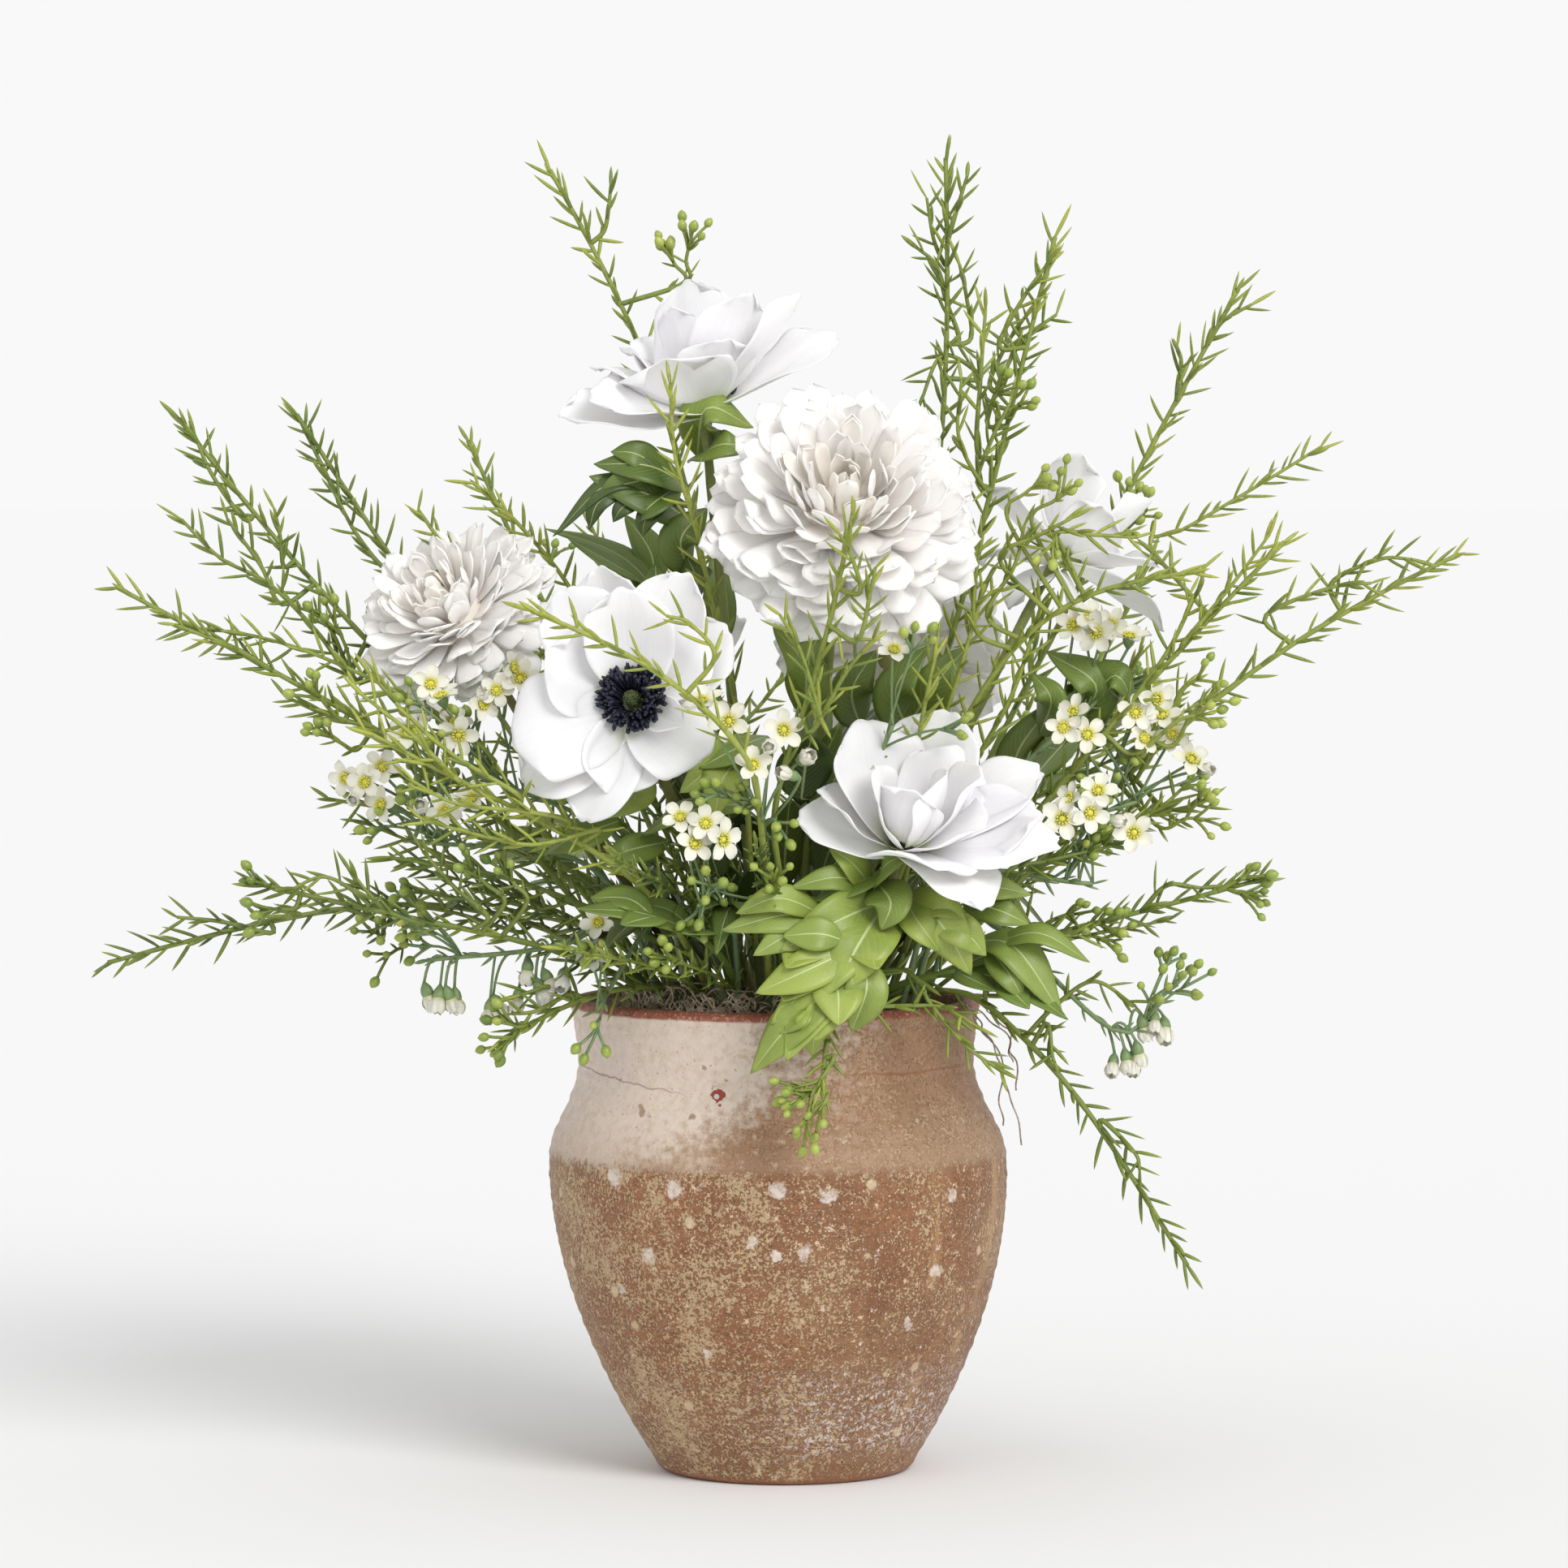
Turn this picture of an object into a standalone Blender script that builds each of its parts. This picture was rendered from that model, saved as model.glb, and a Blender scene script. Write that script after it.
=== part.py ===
"""Flower arrangement in a pot: anemones, dahlias, leafy sprigs and broad leaves in a turned pot.

Metres, +Z up, the front is -Y. The origin is the centre of the pot's flat base. Every stem
stands in a socket in a block of floral foam that is wedged in the pot, under a pad of moss.
Flowers, sprigs and leaves are placed in millimetres from the centre of the pot's mouth.
"""

import math

import bmesh
import bpy
import numpy as np
from mathutils import Matrix, Vector

# Pot
POT_HEIGHT = 0.200
POT_WALL = 0.0065
POT_FLOOR = 0.009
FLOOR_CORNER = 0.004
BASE_RADIUS = 0.0525
BELLY_RADIUS = 0.0965
BELLY_HEIGHT = 0.130
NECK_RADIUS = 0.083
NECK_HEIGHT = 0.172
RIM_RADIUS = 0.0865
LIP_HEIGHT = 0.006
POT_STEPS = 36

# Foam and moss
CLEARANCE = 0.0003
FOAM_CLEARANCE = 0.0007
FOAM_TOP_BELOW_RIM = 0.032
MOSS_THICKNESS = 0.016
MOSS_EDGE = 0.006
SOCKET_DEPTH = 0.045
SEAT_SPACING = 0.0101
SEAT_SHARE = 0.2
SEAT_MARGIN = 0.0155
SEAT_ROUNDS = 200
STEM_LEAN = 0.8

# Stems
STEM_POINTS = 11
FLOWER_STEM_RADIUS = 0.0019
CUP_FLARE = 2.6
SPRIG_RADIUS = 0.0015
SPRIG_TIP_SHARE = 0.45
STEM_SPACING = 0.0030

# How a flower's stem meets its head: where it turns on to the axis, and the straight end
HEAD_TURN = 0.045
HEAD_SAG = 0.010
HEAD_STRAIGHT = 0.012
NECK_ABOVE_MOSS = 0.004

# Petals: a whorl's rings are at these shares of its radius
PETAL_RINGS = (0.33, 0.7, 1.0)
PETAL_THICKNESS = 0.0009
ANEMONE_RADIUS = 0.056
ANEMONE_DEPTH = 0.013
ANEMONE_LAYER = 0.0006
ANEMONE_INNER_SHARE = 0.86
ANEMONE_INNER_RISE = 1.1
ANEMONE_BOSS_RADIUS = 0.0155
ANEMONE_BOSS_HEIGHT = 0.010
DAHLIA_RADIUS = 0.061
DAHLIA_DEPTH = 0.005
DAHLIA_HEART_SHARE = 0.74
DAHLIA_HEART_HEIGHT = 0.029

# Leaves
LEAF_THICKNESS = 0.0009
PETIOLE_HALF_WIDTH = 0.0013
LEAF_POINTS = 13
LEAF_STALK_POINTS = 5
LEAF_COLUMNS = 5
LEAF_ARCH = 0.22

# name: (kind, centre, axis, share of the kind's radius)
FLOWERS = {
    "anemone_front_left": ("anemone", (-59, -115, 129), (-0.15, -0.95, 0.28), 1.0),
    "anemone_top": ("anemone", (-32, -36, 248), (-0.12, 0.22, 0.97), 1.0),
    "anemone_front_right": ("anemone", (50, -95, 70), (0.25, -0.55, 0.80), 1.0),
    "anemone_right": ("anemone", (119, 12, 184), (0.62, 0.25, 0.74), 0.82),
    "anemone_rear": ("anemone", (-60, 50, 112), (-0.45, 0.72, 0.52), 0.86),
    "dahlia_centre": ("dahlia", (25, -88, 200), (0.05, -0.77, 0.64), 1.0),
    "dahlia_left": ("dahlia", (-131, -40, 157), (-0.42, -0.68, 0.60), 0.78),
    "dahlia_rear": ("dahlia", (48, 92, 140), (0.10, 0.86, 0.50), 0.90),
}

SPRIGS = {
    "sprig_top_left": ((-30, 30, 240), (-56, 34, 297), (-77, 37, 328), (-98, 40, 350)),
    "sprig_upper_left": ((-100, 0, 90), (-174, -4, 137), (-208, 0, 182), (-238, 5, 218), (-254, 10, 244)),
    "sprig_left": (
        (-118, -60, 103), (-189, -60, 124), (-228, -60, 147), (-258, -60, 168), (-273, -60, 174),
    ),
    "sprig_behind_dahlia": ((-110, 38, 110), (-164, 42, 176), (-191, 45, 214), (-207, 50, 246)),
    "sprig_low_left": ((-88, -30, 46), (-149, -40, 60), (-184, -50, 42), (-239, -60, 33), (-278, -60, 19)),
    "sprig_low_left_front": ((-70, -66, 30), (-122, -100, 31), (-158, -110, 41), (-212, -110, 55)),
    "sprig_across_anemone": (
        (-4, -108, 70), (-15, -150, 137), (-24, -158, 157), (-57, -162, 164), (-99, -158, 167),
    ),
    "sprig_under_anemone": ((-43, -100, 66), (-99, -120, 78), (-139, -115, 95), (-168, -110, 117)),
    "sprig_top": ((62, 22, 160), (84, 25, 227), (73, 25, 284), (69, 20, 321), (70, 15, 354)),
    "sprig_top_right": ((70, -30, 130), (92, -38, 210), (90, -40, 255), (99, -40, 294), (114, -40, 319)),
    "sprig_upper_right": ((100, 50, 120), (134, 52, 193), (163, 55, 243), (185, 60, 283), (197, 60, 300)),
    "sprig_right": ((90, -40, 60), (129, -52, 111), (153, -60, 141), (183, -60, 167), (208, -60, 193)),
    "sprig_far_right": ((100, -18, 50), (170, -20, 123), (216, -10, 169), (257, -5, 178), (286, 0, 187)),
    "sprig_arching_right": (
        (72, -58, 120), (93, -72, 198), (113, -78, 200), (138, -78, 190), (172, -75, 181),
    ),
    "sprig_low_right": ((70, -45, 24), (108, -50, 30), (146, -55, 36), (176, -60, 47), (197, -60, 53)),
    "sprig_trailing_right": (
        (84, -38, 18), (113, -55, -7), (132, -55, -46), (151, -60, -83), (169, -60, -107),
    ),
    "sprig_trailing_front": ((18, -78, 22), (22, -100, 14), (24, -112, -6), (17, -118, -26)),
    "sprig_trailing_left": ((-52, -56, 17), (-91, -80, 4), (-113, -85, -10)),
    "sprig_before_dahlia": (
        (6, -100, 60), (14, -138, 135), (32, -150, 163), (30, -152, 180), (29, -152, 205),
    ),
    "sprig_rear_left": ((-60, 94, 86), (-100, 140, 150), (-128, 170, 200), (-140, 185, 235)),
    "sprig_rear": ((-20, 90, 60), (-30, 150, 100), (-40, 185, 140), (-46, 205, 180)),
    "sprig_rear_right": ((70, 80, 50), (120, 130, 90), (150, 160, 135), (165, 175, 180)),
}

# name: (half width, lobes on a side, route from the moss to the tip)
LEAVES = {
    "leaf_over_rim": (
        27, 3, ((26, -66, 30), (34, -92, 50), (26, -112, 38), (12, -125, 10), (2, -126, -16)),
    ),
    "leaf_under_anemone": (20, 2, ((-22, -70, 26), (-36, -98, 42), (-56, -116, 50), (-82, -124, 46))),
    "leaf_low_right": (15, 2, ((60, -58, 18), (84, -70, 24), (104, -82, 16), (118, -90, -2))),
    "leaf_right": (22, 2, ((84, 18, 60), (112, 26, 112), (134, 22, 132), (160, 10, 138))),
    "leaf_upper_left": (19, 2, ((-30, -2, 130), (-42, -4, 200), (-66, -10, 214), (-98, -20, 198))),
    "leaf_rear_left": (24, 2, ((-46, 62, 40), (-70, 92, 64), (-100, 118, 66), (-130, 136, 48))),
}

# How stems are moved apart
HEAD_MARGIN = 0.004
SPREAD_ROUNDS = 90
SPREAD_STEP = 1.5
SPREAD_SMOOTHING = 0.06
SAMPLES_PER_STEP = 4

WHITE = (0.86, 0.86, 0.83)
CREAM = (0.84, 0.82, 0.74)
NAVY = (0.02, 0.02, 0.04)
STEM_GREEN = (0.16, 0.25, 0.08)
LEAF_GREEN = (0.24, 0.36, 0.13)
TERRACOTTA = (0.42, 0.24, 0.14)
FOAM_GREEN = (0.12, 0.20, 0.12)
MOSS_BROWN = (0.28, 0.25, 0.19)


def millimetres(point):
    """A point given from the centre of the mouth, in metres from the centre of the base."""
    return np.array(point) / 1000 + (0, 0, POT_HEIGHT)


def pot_radius(z):
    """The outer radius of the pot at a height."""
    if z < BELLY_HEIGHT:
        swell = math.sin(math.pi / 2 * (max(z, 0) / BELLY_HEIGHT) ** 0.93)
        return BASE_RADIUS + (BELLY_RADIUS - BASE_RADIUS) * swell
    if z < NECK_HEIGHT:
        fall = 0.5 - 0.5 * math.cos(math.pi * (z - BELLY_HEIGHT) / (NECK_HEIGHT - BELLY_HEIGHT))
        return BELLY_RADIUS - (BELLY_RADIUS - NECK_RADIUS) * fall
    rise = (min(z, POT_HEIGHT) - NECK_HEIGHT) / (POT_HEIGHT - NECK_HEIGHT)
    return NECK_RADIUS + (RIM_RADIUS - NECK_RADIUS) * rise**2


def bore_radius(z):
    return pot_radius(z) - POT_WALL


def material(name, colour, roughness):
    made = bpy.data.materials.new(name)
    made.use_nodes = True
    shader = made.node_tree.nodes["Principled BSDF"]
    shader.inputs["Base Color"].default_value = (*colour, 1)
    shader.inputs["Roughness"].default_value = roughness
    return made


def add(name, mesh, collection, surface=None, frame=None):
    made = bpy.data.objects.new(name, mesh)
    collection.objects.link(made)
    if surface:
        mesh.materials.append(surface)
    if frame:
        made.matrix_world = frame
    return made


def turned(name, profile, steps, collection, surface, frame=None):
    """A solid of revolution. The profile runs from the axis, down its outer side, back to the axis."""
    mesh = bpy.data.meshes.new(name)
    edges = [(i, i + 1) for i in range(len(profile) - 1)]
    mesh.from_pydata([(r, 0, z) for r, z in profile], edges, [])
    made = add(name, mesh, collection, surface, frame)
    screw = made.modifiers.new("turn", "SCREW")
    screw.steps = steps
    screw.render_steps = steps
    screw.use_merge_vertices = True
    screw.merge_threshold = 0.00001
    screw.use_smooth_shade = True
    return made


def wall_heights():
    """The heights at which the pot's wall has a ring, from the base to the lip."""
    low = np.linspace(0, BELLY_HEIGHT, 7)
    high = np.linspace(BELLY_HEIGHT, POT_HEIGHT - LIP_HEIGHT, 6)[1:]
    return [*low, *high]


def make_pot(collection):
    lip = RIM_RADIUS - POT_WALL / 2
    profile = [(0, POT_FLOOR), (bore_radius(POT_FLOOR) - FLOOR_CORNER, POT_FLOOR)]
    profile += [(bore_radius(z), z) for z in wall_heights() if z > POT_FLOOR]
    profile += [(lip, POT_HEIGHT), (RIM_RADIUS, POT_HEIGHT - LIP_HEIGHT / 3)]
    profile += [(pot_radius(z), z) for z in wall_heights()[::-1]]
    profile += [(0, 0)]
    return turned("pot", profile, POT_STEPS, collection, material("pot glaze", TERRACOTTA, 0.6))


def fit_radius(z):
    """The largest radius at a height that still goes in through the neck."""
    return min(bore_radius(z), bore_radius(NECK_HEIGHT))


def make_filling(sockets, collection):
    """The foam wedged in the pot and the moss over it, both cut by the stems' sockets."""
    foam_top = POT_HEIGHT - FOAM_TOP_BELOW_RIM
    moss_bottom = foam_top + CLEARANCE
    moss_top = moss_bottom + MOSS_THICKNESS
    heights = [z for z in wall_heights() if POT_FLOOR < z < foam_top] + [foam_top]
    foam = [(0, foam_top)] + [(fit_radius(z) - FOAM_CLEARANCE, z) for z in heights[::-1]]
    foam += [(bore_radius(POT_FLOOR) - FLOOR_CORNER - FOAM_CLEARANCE, POT_FLOOR + CLEARANCE)]
    foam += [(0, POT_FLOOR + CLEARANCE)]
    rim = fit_radius(NECK_HEIGHT) - CLEARANCE
    moss = [(0, moss_top), (rim * 0.6, moss_top - 0.0015), (rim, moss_top - MOSS_EDGE)]
    moss += [(rim, moss_bottom), (0, moss_bottom)]
    for name, profile, colour in (("foam", foam, FOAM_GREEN), ("moss", moss, MOSS_BROWN)):
        piece = turned(name, profile, POT_STEPS, collection, material(name, colour, 0.95))
        cut = piece.modifiers.new("sockets", "BOOLEAN")
        cut.object = sockets
        cut.solver = "EXACT"


def make_sockets(routes, radii, cutters):
    """One straight hole round each stem, from below its foot to above the moss."""
    cells = bmesh.new()
    for route, radius in zip(routes, radii):
        foot, neck = Vector(route[0]), Vector(route[1])
        axis = (neck - foot).normalized()
        length = (neck - foot).length + 2 * CLEARANCE
        middle = foot + axis * (length / 2 - CLEARANCE)
        frame = Matrix.Translation(middle) @ axis.to_track_quat("Z", "Y").to_matrix().to_4x4()
        width = (radius + CLEARANCE) / math.cos(math.pi / 6)
        bmesh.ops.create_cone(
            cells, cap_ends=True, segments=6, radius1=width, radius2=width, depth=length, matrix=frame
        )
    mesh = bpy.data.meshes.new("sockets")
    cells.to_mesh(mesh)
    cells.free()
    made = add("sockets", mesh, cutters)
    made.hide_render = True
    made.display_type = "WIRE"
    return made


def through(points, count):
    """The Catmull-Rom curve through the points, read at equal steps of its length."""
    points = np.array(points)
    ends = [2 * points[0] - points[1], *points, 2 * points[-1] - points[-2]]
    fine = []
    for a, b, c, d in zip(ends, ends[1:], ends[2:], ends[3:]):
        for t in np.linspace(0, 1, 12, endpoint=False):
            bend = (2 * a - 5 * b + 4 * c - d) * t**2 + (3 * b - a - 3 * c + d) * t**3
            fine.append(b + ((c - a) * t + bend) / 2)
    fine = np.array([*fine, points[-1]])
    length = np.concatenate([[0], np.cumsum(np.linalg.norm(np.diff(fine, axis=0), axis=1))])
    at = np.linspace(0, length[-1], count)
    return np.stack([np.interp(at, length, fine[:, i]) for i in range(3)], axis=1)


def seats(tips):
    """Where each stem goes through the moss: below its tip, drawn in to the mouth and spread out."""
    spots = tips[:, :2] * SEAT_SHARE
    reach = fit_radius(NECK_HEIGHT) - SEAT_MARGIN
    for _ in range(SEAT_ROUNDS):
        apart = spots[:, None] - spots[None]
        distance = np.linalg.norm(apart, axis=2) + np.eye(len(spots))
        short = np.clip(SEAT_SPACING - distance, 0, None) * (1 - np.eye(len(spots)))
        spots = spots + (apart / distance[..., None] * short[..., None]).sum(axis=1) / 2
        radius = np.linalg.norm(spots, axis=1, keepdims=True)
        spots = spots * np.minimum(1, reach / np.maximum(radius, 1e-6))
    return spots


def head_frame(centre, axis):
    turn = Vector(axis).normalized().to_track_quat("Z", "Y")
    return Matrix.Translation(Vector(centre)) @ turn.to_matrix().to_4x4()


def head_radius(kind, share):
    return share * (ANEMONE_RADIUS if kind == "anemone" else DAHLIA_RADIUS)


def head_height(kind, share):
    return share * (ANEMONE_DEPTH + 0.010 if kind == "anemone" else DAHLIA_HEART_HEIGHT)


def stem_routes():
    """Every stem from its foot in the foam to its end, smooth but not yet spread apart."""
    rough = {}
    for name, (kind, centre, axis, share) in FLOWERS.items():
        end = millimetres(centre)
        back = np.array(Vector(axis).normalized())
        rough[name] = [end - back * HEAD_TURN - (0, 0, HEAD_SAG), end - back * HEAD_STRAIGHT, end]
    for name, points in SPRIGS.items():
        rough[name] = [millimetres(point) for point in points]
    for name, (_, _, points) in LEAVES.items():
        rough[name] = [millimetres(point) for point in points]
    spots = seats(np.array([points[len(points) // 2] for points in rough.values()]))
    moss_top = POT_HEIGHT - FOAM_TOP_BELOW_RIM + 2 * CLEARANCE + MOSS_THICKNESS
    routes = {}
    for (name, points), (x, y) in zip(rough.items(), spots):
        neck = np.array((x, y, moss_top + NECK_ABOVE_MOSS))
        foot = np.array((x * STEM_LEAN, y * STEM_LEAN, moss_top - SOCKET_DEPTH))
        if name in FLOWERS:
            free = through([neck, *points[:-1]], STEM_POINTS - 2)
            routes[name] = np.concatenate([[foot], free, points[-1:]])
        else:
            count = LEAF_POINTS if name in LEAVES else STEM_POINTS
            routes[name] = np.concatenate([[foot], through([neck, *points], count - 1)])
    return routes


def push_out_of_heads(spots, push, own):
    """Adds to push what takes the sampled spots out of each flower head they don't belong to."""
    for number, (kind, centre, axis, share) in enumerate(FLOWERS.values()):
        frame = np.array(head_frame(millimetres(centre), axis))
        radius = head_radius(kind, share) + HEAD_MARGIN
        height = head_height(kind, share) / 2 + HEAD_MARGIN
        local = (spots - frame[:3, 3]) @ frame[:3, :3] - (0, 0, height - HEAD_MARGIN)
        size = np.array((radius, radius, height))
        depth = np.linalg.norm(local / size, axis=1)
        inside = (depth < 1) & (own != number)
        out = local / size**2
        out = out / np.maximum(np.linalg.norm(out, axis=1, keepdims=True), 1e-9)
        push[inside] += (out @ frame[:3, :3].T * (1 - depth)[:, None] * height)[inside]


def push_off_pot(spots, push, clearance):
    """Adds to push what takes spots off the pot's outside and over its rim."""
    across = np.linalg.norm(spots[:, :2], axis=1)
    outer = np.array([pot_radius(z) for z in spots[:, 2]]) + clearance
    beside = (spots[:, 2] < POT_HEIGHT) & (across > RIM_RADIUS) & (across < outer)
    outward = spots[:, :2] / np.maximum(across, 1e-6)[:, None]
    push[beside, :2] += (outward * (outer - across)[:, None])[beside]
    over = (np.abs(across - RIM_RADIUS + POT_WALL / 2) < POT_WALL / 2 + clearance)
    over &= spots[:, 2] < POT_HEIGHT + clearance
    push[over, 2] += (POT_HEIGHT + clearance - spots[over, 2])


def spread(routes):
    """Moves the free points of the routes until no two stems meet and none goes through a head."""
    names = list(routes)
    heads = list(FLOWERS)
    steps = {}
    for name, route in routes.items():
        count = len(route)
        at = np.linspace(1, count - 1, (count - 2) * SAMPLES_PER_STEP + 1)
        low = np.minimum(at.astype(int), count - 2)
        weight = np.zeros((len(at), count))
        weight[np.arange(len(at)), low] = 1 - (at - low)
        weight[np.arange(len(at)), low + 1] += at - low
        steps[name] = weight
    owner = np.concatenate([np.full(len(steps[name]), i) for i, name in enumerate(names)])
    own_head = np.concatenate(
        [np.full(len(steps[name]), heads.index(name) if name in heads else -1) for name in names]
    )
    other = owner[:, None] != owner[None]
    need = 2 * FLOWER_STEM_RADIUS + STEM_SPACING
    for _ in range(SPREAD_ROUNDS):
        spots = np.concatenate([steps[name] @ routes[name] for name in names])
        apart = spots[:, None] - spots[None]
        distance = np.sqrt((apart**2).sum(axis=2)) + 1e-9
        short = np.clip(need - distance, 0, None) * other
        push = (apart * (short / distance / 2)[..., None]).sum(axis=1)
        push_out_of_heads(spots, push, own_head)
        push_off_pot(spots, push, 2 * SPRIG_RADIUS + 0.001)
        for i, name in enumerate(names):
            weight = steps[name]
            move = weight.T @ push[owner == i] / np.maximum(weight.sum(axis=0), 1)[:, None]
            kept = 2 if name in heads else 0
            move[:2] = 0
            move[len(move) - kept :] = 0
            routes[name] = routes[name] + move * SPREAD_STEP
            middle = slice(2, len(move) - max(kept, 1))
            ease = (routes[name][:-2] + routes[name][2:]) / 2 - routes[name][1:-1]
            routes[name][middle] += SPREAD_SMOOTHING * ease[1 : len(move) - 1 - max(kept, 1)]
    return routes


def make_stem(name, route, radii, collection, surface):
    """A tapering tube along the route."""
    curve = bpy.data.curves.new(name, "CURVE")
    curve.dimensions = "3D"
    curve.bevel_depth = 1.0
    curve.bevel_resolution = 1
    curve.use_fill_caps = True
    line = curve.splines.new("POLY")
    line.points.add(len(route) - 1)
    for point, place, radius in zip(line.points, route, radii):
        point.co = (*place, 1)
        point.radius = radius
    return add(name, curve, collection, surface)


def whorl(name, radius, inner, depth, lobes, notch, turn, steps, collection, surface, frame):
    """A ring of petals grown together: a cup of revolution with a lobed edge, thickened."""
    count = lobes * steps
    mesh = bpy.data.meshes.new(name)
    points, faces = [(0, 0, inner)], []
    for ring in PETAL_RINGS:
        for i in range(count):
            angle = 2 * math.pi * i / count
            gap = (0.5 - 0.5 * math.cos(lobes * angle)) ** 2
            r = radius * ring * (1 - notch * gap * ring**3)
            z = inner + depth * (r / radius) ** 1.5
            points.append((r * math.cos(angle + turn), r * math.sin(angle + turn), z))
    for i in range(count):
        j = (i + 1) % count
        faces.append((0, 1 + i, 1 + j))
        for k in range(len(PETAL_RINGS) - 1):
            a, b = 1 + k * count, 1 + (k + 1) * count
            faces.append((a + i, b + i, b + j, a + j))
    mesh.from_pydata(points, [], faces)
    made = add(name, mesh, collection, surface, frame)
    shell = made.modifiers.new("thickness", "SOLIDIFY")
    shell.thickness = PETAL_THICKNESS
    shell.offset = 1
    mesh.shade_smooth()
    return made


def make_anemone(name, frame, share, collection, surfaces):
    """Two whorls of cupped petals round a dark boss of stamens."""
    radius, depth = ANEMONE_RADIUS * share, ANEMONE_DEPTH * share
    first = CLEARANCE
    second = first + PETAL_THICKNESS + ANEMONE_LAYER
    white = surfaces["white"]
    whorl(f"{name}_petals_outer", radius, first, depth, 6, 0.30, 0.0, 5, collection, white, frame)
    inner_radius = radius * ANEMONE_INNER_SHARE
    inner_depth = depth * ANEMONE_INNER_RISE
    whorl(
        f"{name}_petals_inner", inner_radius, second, inner_depth, 5, 0.32, 0.4, 5,
        collection, white, frame,
    )  # fmt: skip
    slope = PETAL_RINGS[0] ** 0.5 * inner_depth / inner_radius
    base = second + PETAL_THICKNESS + 2 * CLEARANCE
    boss, height = ANEMONE_BOSS_RADIUS, ANEMONE_BOSS_HEIGHT
    profile = [(0, base + height), (boss * 0.4, base + height * 0.9), (boss * 0.62, base + height * 0.55)]
    profile += [(boss, base + height * 0.5), (boss, base + slope * boss + CLEARANCE), (0, base)]
    turned(f"{name}_boss", profile, 12, collection, surfaces["navy"], frame)


def make_dahlia(name, frame, share, collection, surfaces):
    """An outer whorl of many narrow petals and the closed mass of petals above it."""
    radius, depth = DAHLIA_RADIUS * share, DAHLIA_DEPTH * share
    first = CLEARANCE
    cream = surfaces["cream"]
    whorl(f"{name}_petals_outer", radius, first, depth, 12, 0.16, 0.0, 3, collection, cream, frame)
    heart, height = radius * DAHLIA_HEART_SHARE, DAHLIA_HEART_HEIGHT * share
    base = first + PETAL_THICKNESS + 3 * CLEARANCE
    floor = base + depth * DAHLIA_HEART_SHARE
    profile = [(0, base + height), (heart * 0.45, base + height * 0.97), (heart * 0.78, base + height * 0.8)]
    profile += [(heart * 0.96, base + height * 0.55), (heart, base + height * 0.36), (heart * 0.9, floor)]
    profile += [(radius * PETAL_RINGS[0], base + depth * PETAL_RINGS[0]), (0, base)]
    turned(f"{name}_petals_inner", profile, 18, collection, cream, frame)


def make_leaf(name, route, half_width, lobes, collection, surface):
    """A stalk that widens into a lobed blade, arched across its midrib."""
    mesh = bpy.data.meshes.new(name)
    along = np.gradient(route, axis=0)
    along /= np.linalg.norm(along, axis=1, keepdims=True)
    sideways = np.cross(along, (0, 0, 1))
    sideways[: LEAF_STALK_POINTS - 1] = sideways[LEAF_STALK_POINTS - 1]
    sideways -= along * (sideways * along).sum(axis=1, keepdims=True)
    sideways /= np.linalg.norm(sideways, axis=1, keepdims=True)
    upward = np.cross(sideways, along)
    points, faces = [], []
    columns = np.linspace(-1, 1, LEAF_COLUMNS)
    for i, place in enumerate(route):
        t = max(0, (i - LEAF_STALK_POINTS) / (len(route) - 1 - LEAF_STALK_POINTS))
        lobing = 0.8 + 0.2 * math.cos(2 * math.pi * lobes * t)
        blade = half_width * math.sin(math.pi * t**0.75) ** 0.7 * lobing
        width = PETIOLE_HALF_WIDTH + blade
        for column in columns:
            arch = -LEAF_ARCH * width * column**2
            points.append(place + sideways[i] * width * column + upward[i] * arch)
    for i in range(len(route) - 1):
        for j in range(len(columns) - 1):
            a = i * len(columns) + j
            faces.append((a, a + 1, a + 1 + len(columns), a + len(columns)))
    mesh.from_pydata(points, [], faces)
    made = add(name, mesh, collection, surface)
    shell = made.modifiers.new("thickness", "SOLIDIFY")
    shell.thickness = LEAF_THICKNESS
    shell.offset = 0
    mesh.shade_smooth()
    return made


def build():
    for old in list(bpy.data.objects):
        bpy.data.objects.remove(old)
    parts = bpy.data.collections.new("flower arrangement")
    cutters = bpy.data.collections.new("cutters")
    bpy.context.scene.collection.children.link(parts)
    bpy.context.scene.collection.children.link(cutters)
    surfaces = {
        "white": material("white petals", WHITE, 0.6),
        "cream": material("cream petals", CREAM, 0.6),
        "navy": material("stamens", NAVY, 0.8),
        "stem": material("stems", STEM_GREEN, 0.6),
        "leaf": material("leaves", LEAF_GREEN, 0.5),
    }
    routes = spread(stem_routes())
    radii = {name: FLOWER_STEM_RADIUS if name in FLOWERS else SPRIG_RADIUS for name in routes}
    make_pot(parts)
    make_filling(make_sockets(routes.values(), radii.values(), cutters), parts)
    for name, (kind, centre, axis, share) in FLOWERS.items():
        frame = head_frame(millimetres(centre), axis)
        thick = [FLOWER_STEM_RADIUS] * (STEM_POINTS - 1) + [FLOWER_STEM_RADIUS * CUP_FLARE]
        make_stem(f"{name}_stem", routes[name], thick, parts, surfaces["stem"])
        make = make_anemone if kind == "anemone" else make_dahlia
        make(name, frame, share, parts, surfaces)
    for name in SPRIGS:
        thin = SPRIG_RADIUS * np.linspace(1, SPRIG_TIP_SHARE, STEM_POINTS)
        make_stem(name, routes[name], thin, parts, surfaces["stem"])
    for name, (half_width, lobes, _) in LEAVES.items():
        make_leaf(name, routes[name], half_width / 1000, lobes, parts, surfaces["leaf"])


build()
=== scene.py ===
"""Looks of a flower arrangement in a pot: petals, stamens, needle sprigs, small flowers and glaze.

The CAD frame gives every stem's line, every flower's centre and axis, and the pot's profile;
the surfaces here are grown along and around them. Metres, +Z up, the front is -Y.
"""

import math

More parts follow.
